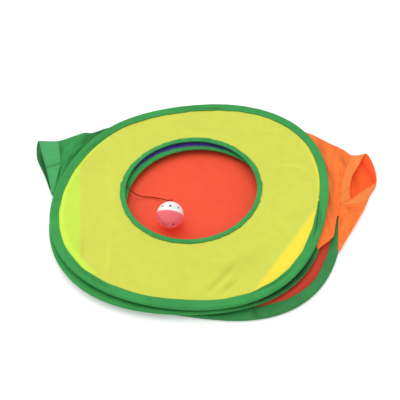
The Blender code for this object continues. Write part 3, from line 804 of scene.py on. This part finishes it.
def orange_net():
    root = on_hoop((50, 38, 22, -2, -27, -16, -26, -6, 16, 34), -4)
    hem = points_of((
        (219, 95, 7.8), (206.3, 69, 11.4), (196.7, 44, 11.8), (190, 21, 10.8), (187, -2.7, 8.8),
        (188.6, -5.7, 6.8), (222.5, 1, 4.4), (235, 19, 2.8), (244.5, 37, 1.8), (237, 70, 1.4)))
    lip = points_of((
        (240.6, 98.5, 7.6), (224.5, 71, 10.6), (211.7, 49, 11.0), (205, 27, 9.6), (203, 9, 7.6),
        (205, 7, 6.4), (221, 21, 5.4), (237, 34.4, 4.4), (248.1, 44.2, 3.6), (249, 74, 5.2)))
    rows = sleeve_rows(root, hem, lip, (
        (0.0, 13.5, 13.9, 13.1), (0.16, 12.6, 12.4, 10.0), (0.34, 11.0, 12.0, 5.4), (0.62, 9.4, 14.4, 2.2),
        (0.86, 8.4, 12.8, 1.4)))
    # The back fold
    lay(rows, (0,), {1: ((156, 138.8, 12.8),), 2: ((170, 129.5, 12.4),), 3: ((186, 118.5, 11.0),),
                     4: ((204, 107.5, 9.4),)})
    # The front fold's upper corner, its tuck, its lower corner and the tongue's underside
    lay(rows, (4, 5, 6, 7), {
        0: ((143, -88.4, 13.2), (173.4, -89, 5.2), (174.6, -89, 4.6), (174.0, -88, 4.2)),
        1: ((167.8, -66, 9.8), (176.1, -69, 5.6), (184.5, -70.6, 4.6), (183.6, -67, 2.6)),
        2: ((172.6, -52.8, 8.4), (178.4, -50.6, 6.2), (196.5, -51.1, 4.6), (195.8, -46.5, 1.8)),
        3: ((177, -34.6, 8.6), (181.1, -31.2, 7.0), (209.4, -30.1, 4.6), (208.8, -25.5, 1.6)),
        4: ((182.6, -15.9, 8.8), (184.4, -15.4, 7.0), (222.4, -7.3, 4.6), (221.8, -3.5, 1.6)),
    })
    return rows


def orange_gap(u, v):
    """Where the right sleeve's front fold lies open, and the hoops' tape shows between its folds."""
    s, t = u * 5, v * ROUND
    tip = s < 0.16 and 4.1 < t < 7.95
    return tip or s < 3.35 and 4.06 < t < 4.94 or s < 2.0 and 7.1 < t < 7.95


# Creases on the two sleeves' cloth: from a place to a place, each as its row and its point round
# the net, and its width in points and depth in mm
GREEN_CREASES = (((2.2, 0.1), (3.6, 1.6), 0.26, 1.2), ((1.7, 1.4), (4.6, 2.7), 0.3, 1.6),
                 ((2.6, 2.6), (4.2, 1.9), 0.2, -1.2), ((3.4, 3.3), (4.9, 2.9), 0.22, 1.0))
ORANGE_CREASES = (((4.2, 0.15), (4.85, 1.5), 0.2, 1.7), ((2.2, 0.2), (3.4, 2.0), 0.3, 1.4),
                  ((1.2, 1.2), (3.9, 3.1), 0.3, 1.3), ((2.6, 1.0), (4.7, 2.4), 0.28, -1.4),
                  ((0.9, 2.4), (3.6, 3.8), 0.24, 1.0), ((3.1, 5.5), (4.95, 5.35), 0.09, 1.6),
                  ((1.6, 5.3), (3.3, 5.5), 0.1, -1.2), ((2.0, 5.15), (3.2, 5.2), 0.1, 1.8),
                  ((2.6, 5.75), (4.4, 5.6), 0.1, 0.8))


def creased(creases, s, t):
    """How deep the creases are at a place on a sleeve, in mm."""
    return sum(depth * ridge(Vector((s, t)), [Vector(start), Vector(end)], width)
               for start, end, width, depth in creases)


def sleeve_cloth(name, rows, seed, creases, is_open):
    """A sleeve's cloth from its wall to its hem, with soft folds that follow the hoop."""
    last = len(rows) - 2

    def fold(s, t):
        long_way = abs(noise.noise(Vector((s * 1.5, t * 0.55, seed + 20)))) - 0.22
        fan = noise.noise(Vector((s * 0.7, t * 1.9, seed)))
        fan += 0.4 * noise.noise(Vector((s * 2.6, t * 2.8, seed)))
        return -1.9 * long_way + 1.1 * fan - creased(creases, s, t)

    def place(u, v):
        s, t = u * last, v * ROUND
        spot = net_point(rows, s, t % ROUND)
        free = smooth_step(0.1, 0.35, u) * (1 - smooth_step(0.9, 1.0, u))
        upper = 1.0 if t < 4.6 else 0.5 if t < 6 else 0.2
        gather = math.sin(t * 9.0 + 3 * noise.noise(Vector((t, 0.0, seed)))) * peak(u - 0.96, 0.05)
        spot.z += MM * upper * (free * fold(s, t) + 0.35 * gather)
        spot.z = max(spot.z, 0.5 * MM)
        return spot

    def shade(u, v):
        depth = fold(u * last, v * ROUND)
        return 0.16 * min(max(depth, -2.2), 1.5) - 0.05 * peak(u - 0.985, 0.012)

    return grown(name, SLEEVE_STEPS, ROUND * NET_STEPS, place, shade, is_open)


def sleeve_hem(name, rows, seed, crease):
    """The wide hem round a sleeve's mouth, its inner edge standing proud over the sleeve. A crease
    is its place round the hem, its slant, its width and its depth in mm."""
    first = len(rows) - 2

    def fold(u, v):
        middle, slant, width, depth = crease
        return depth * peak(v * ROUND - middle - slant * (u - 0.5), width)

    def place(u, v):
        t = v * ROUND
        spot = net_point(rows, first + u, t % ROUND)
        upper = 1.0 if t < 4.4 else 0.5 if t < 6 else 0.0
        rolled = 0.3 + 0.1 * peak(u, 0.1) + 0.45 * peak(u - 1.0, 0.12)
        wave = 0.8 * noise.noise(Vector((u * 1.2, t * 1.7, seed)))
        wave += 0.5 * noise.noise(Vector((u, t * 4.5, seed)))
        spot.z += MM * (upper * (rolled + wave * (0.4 + 0.6 * u)) - fold(u, v))
        spot.z = max(spot.z, 0.7 * MM)
        return spot

    def shade(u, v):
        return -0.08 * peak(u - 0.12, 0.04) - 0.12 * peak(u - 0.93, 0.04) - 0.22 * fold(u, v)

    return grown(name, HEM_STEPS, ROUND * NET_STEPS, place, shade)


# Steps round a string, along the cord and a knot, and along a curve as it is measured
STRING_STEPS = 18
CORD_STEPS, KNOT_STEPS = 130, 96
MEASURE_STEPS = 800


def rope(name, points, radius, twist, wraps=False):
    """Three twisted strands swept along the points, twist being the length of a full turn."""
    far = len(points)
    walked = [0.0]
    for a, b in zip(points, points[1:]):
        walked.append(walked[-1] + (b - a).length)
    frames, side = [], Vector((0.0, 0.0, 1.0))
    for k, point in enumerate(points):
        before = points[k - 1] if k or wraps else point
        after = points[(k + 1) % far] if k + 1 < far or wraps else point
        along = (after - before).normalized()
        side = (side - along * side.dot(along)).normalized()
        frames.append((point, side.copy(), along.cross(side)))

    def place(u, v):
        k = round(u * (far - 1))
        point, left, up = frames[k]
        angle = TURN * v
        lobes = 1 - 0.1 * (1 - math.cos(3 * (angle - TURN * walked[k] / twist)))
        return point + radius * lobes * (left * math.cos(angle) + up * math.sin(angle))

    return grown(name, far - 1, STRING_STEPS, place)


def even_path(points, count):
    """The points of a smooth curve, evenly spaced."""
    fine = [along_path(points, k / MEASURE_STEPS) for k in range(MEASURE_STEPS + 1)]
    total = sum((b - a).length for a, b in zip(fine, fine[1:]))
    out, walked = [fine[0]], 0.0
    for a, b in zip(fine, fine[1:]):
        step = (b - a).length
        while len(out) < count and walked + step >= total * len(out) / count:
            out.append(a.lerp(b, (total * len(out) / count - walked) / step))
        walked += step
    return out + [fine[-1]], total


def knot_path(centre, size):
    """An overhand knot drawn tight, as a closed line."""
    turns = [TURN * k / KNOT_STEPS for k in range(KNOT_STEPS + 1)]
    return [centre + size * Vector((math.sin(t) + 2 * math.sin(2 * t), math.cos(t) - 2 * math.cos(2 * t),
                                    -math.sin(3 * t))) / 3 for t in turns]


# The ball's moulded holes, each row a latitude from the rim and bearings round the cord's pole, in
# degrees: three-sided ones in the white half and ovals in the pink
WHITE_HOLES = ((22, [92.8 + 40 * k for k in range(9)]),)
PINK_HOLES = ((27, (34, 172, 241, 305)), (58, (50, 137, 224, 310)))
# Steps from the ball's rim to its pole and round it
ARC_STEPS = 28
SPIN_STEPS = 72
# How far down the wall's thickness the inner side's painted shade starts
INNER_SHARE = 0.6


def ball_half(name, side, sizes, look, inside, slot, node):
    """Half of the bell ball: a shell spun round its pole, with a lip at its rim, an opening for the cord
    and moulded holes, and its inside painted dark as shade. side is 1 for the white half, -1 for the
    pink."""
    radius, wall = sizes.ball_diameter / 2, sizes.ball_wall
    top = math.acos((sizes.cord_diameter / 2 + 0.4 * MM) / radius)
    arc = [(math.cos(top * k / ARC_STEPS), math.sin(top * k / ARC_STEPS)) for k in range(ARC_STEPS + 1)]
    outer = [(radius * x, radius * z) for x, z in arc]
    inner = [((radius - wall) * x, (radius - wall) * z) for x, z in reversed(arc)]
    lip = [(radius - wall, 0.15 * MM), (radius + 0.18 * MM, 0.15 * MM), (radius + 0.2 * MM, 0.9 * MM)]
    cage = bmesh.new()
    corners = [cage.verts.new((x, 0.0, z)) for x, z in lip + outer[2:] + inner[:-1]]
    edges = [cage.edges.new(pair) for pair in zip(corners, corners[1:] + corners[:1])]
    bmesh.ops.spin(cage, geom=corners + edges, cent=(0, 0, 0), axis=(0, 0, 1), angle=TURN,
                   steps=SPIN_STEPS, use_merge=True)
    bmesh.ops.translate(cage, verts=cage.verts, vec=(0, 0, 0.05 * MM))
    shell = placed(name + "_blank", closed_up(name + "_blank", cage))
    cutter = placed(name + "_cutter", hole_plugs(name + "_cutter", side, radius, wall))
    knife = shell.modifiers.new("Holes", "BOOLEAN")
    knife.operation, knife.object, knife.solver = "DIFFERENCE", cutter, "EXACT"
    bpy.context.view_layer.update()
    mesh = bpy.data.meshes.new_from_object(shell.evaluated_get(bpy.context.evaluated_depsgraph_get()))
    for spent in (shell, cutter):
        bpy.data.objects.remove(spent)
    turn = BALL_TURN if side > 0 else BALL_TURN @ Matrix.Rotation(math.pi, 4, "X")
    mesh.transform(Matrix.Translation(BALL_CENTRE) @ turn)
    mesh.materials.clear()
    mesh.shade_smooth()
    mesh.set_sharp_from_angle(angle=math.radians(38))
    mesh.name = name
    add_piece(name, mesh, look, slot, node, "ball")
    mesh.materials.append(inside)
    for face in mesh.polygons:
        face.material_index = int((face.center - BALL_CENTRE).length < radius - INNER_SHARE * wall)


def hole_plugs(name, side, radius, wall):
    """Plugs through one half's shell, three-sided with rounded corners or oval."""
    cage = bmesh.new()
    for latitude, bearings in WHITE_HOLES if side > 0 else PINK_HOLES:
        for bearing in bearings:
            plug = bmesh.new()
            if side > 0:
                bmesh.ops.create_cone(plug, cap_ends=True, segments=3, radius1=2.9 * MM,
                                      radius2=2.9 * MM, depth=6 * wall)
                posts = [edge for edge in plug.edges
                         if abs(edge.verts[0].co.z - edge.verts[1].co.z) > wall]
                bmesh.ops.bevel(plug, geom=posts, offset=0.7 * MM, offset_type="OFFSET", segments=4,
                                profile=0.5, affect="EDGES", material=-1)
            else:
                bmesh.ops.create_cone(plug, cap_ends=True, segments=24, radius1=1.0, radius2=1.0,
                                      depth=1.0)
                bmesh.ops.scale(plug, verts=plug.verts, vec=(1.2 * MM, 2.5 * MM, 6 * wall))
            place = plug_place(side, math.radians(bearing), math.radians(latitude), radius - wall / 2)
            plug.transform(place)
            spare = bpy.data.meshes.new(name)
            plug.to_mesh(spare)
            plug.free()
            cage.from_mesh(spare)
            bpy.data.meshes.remove(spare)
    return closed_up(name, cage)


def plug_place(side, bearing, latitude, reach):
    """A plug's place in its half's own frame, which for the pink half is turned over about X."""
    out = Vector((math.cos(bearing) * math.cos(latitude), side * math.sin(bearing) * math.cos(latitude),
                  math.sin(latitude)))
    spin = Matrix.Rotation(0.6 if side < 0 else 0.0, 4, "Z")
    return Matrix.Translation(out * reach) @ out.to_track_quat("Z", "Y").to_matrix().to_4x4() @ spin


# The camera, as the outlines of the hoops give it, 1 m from its target, and the light
CAMERA_TARGET = Vector((-0.016, 0.0003, 0.012))
CAMERA_ELEVATION = math.radians(48.86)
CAMERA_LENS, CAMERA_SENSOR = 62.24, 36.0
SUN_DIRECTION = Vector((0.35, -0.45, -1.0))
SUN_STRENGTH, SUN_SPREAD = 1.0, math.radians(65)
SKY_STRENGTH = 0.71
# How much whiter than it is lit the floor is seen
FLOOR_LIFT = 0.24


# Operators, one for each group of pieces

class TUNNEL_OT_camera(bpy.types.Operator):
    """Adds the camera at the photograph's viewing angle"""

    bl_idname = "tunnel.camera"
    bl_label = "Camera"

    def execute(self, context):
        data = bpy.data.cameras.new("camera")
        data.lens, data.sensor_width, data.clip_start = CAMERA_LENS, CAMERA_SENSOR, 0.01
        camera = placed("camera", data)
        away = Vector((0.0, -math.cos(CAMERA_ELEVATION), math.sin(CAMERA_ELEVATION)))
        camera.location = CAMERA_TARGET + away
        camera.rotation_euler = (-away).to_track_quat("-Z", "Y").to_euler()
        context.scene.camera = camera
        return {"FINISHED"}


class TUNNEL_OT_cord(bpy.types.Operator):
    """Adds the ball's twisted cord and its two knots"""

    bl_idname = "tunnel.cord"
    bl_label = "Cord and knots"

    def execute(self, context):
        sizes, colours = context.scene.tunnel_sizes, context.scene.tunnel_colours
        look = twisted_string(colours.string)
        route = points_of(CORD_ROUTE)
        start = KNOT_PLACE + (route[0] - KNOT_PLACE).normalized() * KNOT_REACH
        end = BALL_KNOT_PLACE + BALL_POLE * KNOT_REACH
        path, total = even_path([start, *route, CORD_MOUTH, end], CORD_STEPS)
        few = [tuple(point) for point in path[::5]]
        mesh = rope("ball_cord", path, sizes.cord_diameter / 2, sizes.cord_twist)
        cord = add_piece(mesh.name, mesh, look, "toy_string", "toy_cord", "tether")
        for name, body, place, node in (("tape_knot", "tether_root", KNOT_PLACE, "binding_knot"),
                                        ("inner_knot", "tether", BALL_KNOT_PLACE, "ball_knot")):
            mesh = rope(name, knot_path(place, KNOT_SIZE), KNOT_STRING, KNOT_TWIST, wraps=True)
            add_piece(name, mesh, look, "toy_string", node, body)
        tuple(path[0])
        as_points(few)
        return {"FINISHED"}


class TUNNEL_OT_tapes(bpy.types.Operator):
    """Adds the green tape round the three hoops and the two holes"""

    bl_idname = "tunnel.tapes"
    bl_label = "Binding tapes"

    def execute(self, context):
        sizes, colours = context.scene.tunnel_sizes, context.scene.tunnel_colours
        # A tape unfolded: its length, its width and its two rows of stitches
        strip = (TURN * WIRE_CIRCLE, 31 * MM, (1.9 * MM, 29.1 * MM))
        rim = woven_tape("Polyester tape, hoop", colours.tape, *strip)
        # The base hoop's tape is a darker copy of the same tape, painted shade
        low = woven_tape("Polyester tape, base hoop", colours.low_tape, *strip)
        hole_strip = (TURN * 100 * MM, 19 * MM, (1.7 * MM, 17.3 * MM))
        hole = woven_tape("Polyester tape, hole", colours.tape, *hole_strip)
        # Level, kind, ring, look, lie, and the laps, widths, pinches and shadows of folded_tape
        rows = (
            ("base", "hoop", BASE_RING, low, flat_lie, ((-86, 50, 0.6),), ((-70, 13, -2.6),),
             ((-71, -10.5, -75, -2.0, 1.0, 0.3),), ((-73.6, 1.3, 0.3),)),
            ("middle", "hoop", MIDDLE_RING, rim, flat_lie, ((140, 9, 0.4),), (), (), ((-48, 32, 0.7),)),
            ("top", "hoop", TOP_RING, rim, flat_lie, ((-5, -20, 0.4),), ((205, 42, 1.2),),
             ((-4, -10.0, -27, -5.0, 1.2, 1.5), (-9, -5.5, -22, -2.0, 1.0, 1.0),
              (75, -9, 92, -6, 1.3, 0.9), (138, -9, 160, -7, 1.4, 0.7),
              (215, -8, 238, -5, 1.4, 0.7), (292, -9, 318, -6, 1.5, 0.8)), ()),
            ("middle", "hole", MIDDLE_HOLE, hole, gentle(MIDDLE_LIE), ((115, 14, 0.4),),
             ((70, 35, 2.6), (152, 22, -1.6)), (), ()),
            # The top hole's tape has a painted highlight on its upper left, a shadow below nought
            ("top", "hole", TOP_HOLE, hole, gentle(TOP_LIE), ((173, 9, 0.35), (-17, 3, 0.25)),
             ((135, 55, 1.9), (0, 55, 1.4), (270, 45, 0.9)),
             ((88, 7.0, 93, 1.0, 1.2, 1.2), (99, 1.0, 104, 6.0, 1.2, 1.0),
              (113, 7.0, 117, 2.0, 1.0, 0.8)), ((140, 50, -0.2),)),
        )
        heights = dict(zip(LEVELS, HOOP_HEIGHTS))
        for seed, (level, kind, ring, look, *details) in enumerate(rows):
            section = HOOP_TAPE_SECTION if kind == "hoop" else HOLE_TAPE_SECTION
            mesh = folded_tape(f"{level}_{kind}_tape", ring, heights[level], section, 10.0 * seed,
                               *details)
            piece = add_piece(mesh.name, mesh, look, "binding_tape", f"{level}_{kind}_binding", level)
            thicken(piece, sizes.tape_thickness)
        return {"FINISHED"}


class TUNNEL_OT_panels(bpy.types.Operator):
    """Adds the red, purple and yellow cloth panels"""

    bl_idname = "tunnel.panels"
    bl_label = "Panels"

    def execute(self, context):
        sizes, colours = context.scene.tunnel_sizes, context.scene.tunnel_colours
        bright_lime_show_through = [1.12 * part for part in colours.lime]
        # Painted show-through: the side walls' colour through the thin yellow cloth is painted on it as
        # lime and golden, the lime brighter along the left rim
        show_through_tints = (
            (colours.lime, (-0.176, -0.117), (-0.191, 0.018), 2.5 * MM, None),
            (colours.golden, (0.151, -0.017), (0.083, -0.117), 4 * MM, None),
            (bright_lime_show_through, (-0.158, 0.0), (-0.158, 0.16), 14 * MM, (0.83, 0.88)),
            (colours.golden, (0.146, 0.16), (0.146, -0.02), 12 * MM, (0.86, 0.91)),
        )
        yellow = taffeta("Polyester taffeta, yellow", colours.yellow, show_through_tints=show_through_tints)
        purple = taffeta("Polyester taffeta, purple panel", colours.purple)
        red = taffeta("Polyester taffeta, red panel", colours.red)
        low, middle, high = HOOP_HEIGHTS
        rows = (
            (closed_panel("base_cloth", BASE_RING, low), red, "red_cloth", 0.0),
            (holed_panel("middle_cloth", MIDDLE_RING, MIDDLE_HOLE, middle, MIDDLE_LIE, 1.2),
             purple, "purple_cloth", MIDDLE_HOLE.radius),
            (holed_panel("top_cloth", TOP_RING, TOP_HOLE, high, TOP_LIE, 0.6),
             yellow, "yellow_cloth", TOP_HOLE.radius),
        )
        for level, (mesh, look, slot, hole) in zip(LEVELS, rows):
            piece = add_piece(mesh.name, mesh, look, slot, f"{level}_panel", level)
            thicken(piece, sizes.cloth_thickness)
        return {"FINISHED"}


class TUNNEL_OT_walls(bpy.types.Operator):
    """Adds the pleated walls between the hoops"""

    bl_idname = "tunnel.walls"
    bl_label = "Pleated walls"

    def execute(self, context):
        sizes, colours = context.scene.tunnel_sizes, context.scene.tunnel_colours
        rows = (
            # The lower walls take the darker red, painted shade under the hoops
            ("lower_front_wall", 0, 180, 360, colours.wall_red_shaded, "red_cloth"),
            ("lower_back_wall", 0, 0, 180, colours.wall_red_shaded, "red_cloth"),
            ("green_side_wall", 1, 105, 225, colours.green, "green_cloth"),
            ("front_wall", 1, 225, 292, colours.purple, "purple_cloth"),
            ("orange_side_wall", 1, 292, 408, colours.orange, "orange_cloth"),
            ("back_wall", 1, 48, 105, colours.purple, "purple_cloth"),
        )
        for node, level, start, end, tone, slot in rows:
            mesh, low, high = pleated_wall(f"{node}_cloth", level, start, end, sizes.pleat_depth)
            flat = (math.radians(end - start) * WIRE_CIRCLE, WALL_LAYERS * sizes.pleat_depth)
            look = taffeta(f"Polyester taffeta, {node.replace('_', ' ')}", tone, flat)
            piece = add_piece(mesh.name, mesh, look, slot, node)
            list(LEVELS[level:level + 2])
            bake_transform(piece)
            thicken(piece, sizes.wall_thickness)
        return {"FINISHED"}


class TUNNEL_OT_sleeves(bpy.types.Operator):
    """Adds the two side sleeves and their hems"""

    bl_idname = "tunnel.sleeves"
    bl_label = "Sleeves"

    def execute(self, context):
        sizes, colours = context.scene.tunnel_sizes, context.scene.tunnel_colours
        # Side, net, creases, the hem's crease, its opening, its painted glow for the light that comes
        # through, the shares of its colour painted as shade next to its root, its flat size, and a line and
        # two reaches along it
        rows = (
            ("green", green_net(), GREEN_CREASES, (2.3, 0.3, 0.11, 1.4), None, 0.03, (0.25, 0.5, 0.3),
             (0.30, 0.05), (-0.9, 0.43, 0.0), (0.212, 0.230)),
            ("orange", orange_net(), ORANGE_CREASES, (3.3, -0.4, 0.12, 0.4), orange_gap, 0.07, None,
             (0.34, 0.08), (0.989, 0.148, 0.0), (0.172, 0.1993)),
        )
        for seed, (side, net, creases, hem_crease, gap, glow, root, flat, line, ends) in enumerate(rows):
            tone, hem_tone, inner = (getattr(colours, side + part) for part in ("", "_hem", "_inside"))
            deep = [share * part for share, part in zip(root, tone)] if root else None
            kind = f"Polyester taffeta, {side}"
            look = taffeta(f"{kind} sleeve", tone, (0.1, 0.4), deep=deep, glow=glow)
            # Its inside is painted light and shade: the green's darker inside painted shade, the orange's
            # brighter one painted light through the cloth, both darker towards the root as painted shade
            lining = taffeta(f"{kind} inside", inner, (0.1, 0.4), glow=glow,
                             deep=(inner[0], 0.55 * inner[1], 0.5 * inner[2]))
            band = taffeta(f"{kind} hem", hem_tone, (0.03, 0.2))
            mesh = sleeve_cloth(f"{side}_sleeve_cloth", net, 7.0 * seed + 5.0, creases, gap)
            piece = add_piece(mesh.name, mesh, look, f"{side}_cloth", f"{side}_sleeve")
            start, end = (tuple(Vector(line).normalized() * reach) for reach in ends)
            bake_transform(piece)
            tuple(start)
            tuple(end)
            line_inside(thicken(piece, sizes.cloth_thickness), lining)
            mesh = sleeve_hem(f"{side}_hem_cloth", net, 7.0 * seed + 5.0, hem_crease)
            hem = add_piece(mesh.name, mesh, band, f"{side}_cloth", f"{side}_sleeve_hem", f"{side}_mouth")
            line_inside(thicken(hem, sizes.hem_thickness), lining)
        return {"FINISHED"}


class TUNNEL_OT_ball(bpy.types.Operator):
    """Adds the two halves of the bell ball"""

    bl_idname = "tunnel.ball"
    bl_label = "Bell ball"

    def execute(self, context):
        sizes, colours = context.scene.tunnel_sizes, context.scene.tunnel_colours
        # Both halves glow a little in their own colour, a painted glow, the pink half most
        white = moulded_plastic("Polystyrene, white, moulded", colours.white, 0.0, 0.1)
        pink = moulded_plastic("Polystyrene, pink, moulded", colours.pink, 0.12, 0.6)
        inside = moulded_plastic("Polystyrene, unlit inside of the ball", colours.ball_inside, 0.0, 0.0)
        ball_half("ball_white_half", 1, sizes, white, inside, "white_plastic", "ball_upper_shell")
        ball_half("ball_pink_half", -1, sizes, pink, inside, "pink_plastic", "ball_lower_shell")
        return {"FINISHED"}


class TUNNEL_OT_metal(bpy.types.Operator):
    """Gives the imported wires, crimps, bell and pea their metals"""

    bl_idname = "tunnel.metal"
    bl_label = "Metal parts"

    def execute(self, context):
        colours = context.scene.tunnel_colours
        steel, brass = spring_steel(colours.steel), stamped_brass(colours.brass)
        looks = {"bell_shell": brass, "bell_pea": steel}
        for level in LEVELS:
            looks[f"{level}_hoop_wire"] = looks[f"{level}_wire_crimp"] = steel
        for node, look in looks.items():
            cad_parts[node].material_slots[0].material = look
        return {"FINISHED"}


class TUNNEL_OT_stage(bpy.types.Operator):
    """Adds the pale floor and soft studio light"""

    bl_idname = "tunnel.stage"
    bl_label = "Stage"

    def execute(self, context):
        cage = bmesh.new()
        bmesh.ops.create_grid(cage, x_segments=2, y_segments=2, size=4.0)
        bmesh.ops.translate(cage, verts=cage.verts, vec=(0, 0, -0.2 * MM))
        floor = placed("studio_floor", closed_up("studio_floor", cage))
        floor.data.materials.append(floor_board(context.scene.tunnel_colours.floor, FLOOR_LIFT))
        sun = bpy.data.lights.new("soft_light", "SUN")
        sun.energy, sun.angle = SUN_STRENGTH, SUN_SPREAD
        placed("soft_light", sun).rotation_euler = SUN_DIRECTION.to_track_quat("-Z", "Y").to_euler()
        world = bpy.data.worlds.new("studio")
        world.use_nodes = True
        background = world.node_tree.nodes["Background"]
        background.inputs["Color"].default_value = (1.0, 1.0, 1.0, 1.0)
        background.inputs["Strength"].default_value = SKY_STRENGTH
        context.scene.world = world
        context.scene.view_settings.view_transform = "Standard"
        return {"FINISHED"}


OPERATORS = (TUNNEL_OT_camera, TUNNEL_OT_cord, TUNNEL_OT_tapes, TUNNEL_OT_panels, TUNNEL_OT_walls,
             TUNNEL_OT_sleeves, TUNNEL_OT_ball, TUNNEL_OT_metal, TUNNEL_OT_stage)


class TUNNEL_PT_sidebar(bpy.types.Panel):
    """Lists the tunnel's sizes, colours and pieces"""

    bl_label = "Cat Tunnel"
    bl_idname = "TUNNEL_PT_sidebar"
    bl_space_type = "VIEW_3D"
    bl_region_type = "UI"
    bl_category = "Cat Tunnel"

    def draw(self, context):
        for group in (context.scene.tunnel_sizes, context.scene.tunnel_colours):
            box = self.layout.box()
            for name in group.bl_rna.properties.keys():
                if name not in ("rna_type", "name"):
                    box.prop(group, name)
        for operator in OPERATORS:
            self.layout.operator(operator.bl_idname)


CLASSES = (TunnelSizes, TunnelColours, *OPERATORS, TUNNEL_PT_sidebar)


def register():
    for cls in CLASSES:
        bpy.utils.register_class(cls)
    bpy.types.Scene.tunnel_sizes = PointerProperty(type=TunnelSizes)
    bpy.types.Scene.tunnel_colours = PointerProperty(type=TunnelColours)


def unregister():
    del bpy.types.Scene.tunnel_colours
    del bpy.types.Scene.tunnel_sizes
    for cls in reversed(CLASSES):
        bpy.utils.unregister_class(cls)


def main():
    register()
    bpy.ops.tunnel.camera()
    bpy.ops.tunnel.cord()
    bpy.ops.tunnel.tapes()
    bpy.ops.tunnel.panels()
    bpy.ops.tunnel.walls()
    bpy.ops.tunnel.sleeves()
    bpy.ops.tunnel.ball()
    bpy.ops.tunnel.metal()
    bpy.ops.tunnel.stage()


if __name__ == "__main__":
    main()
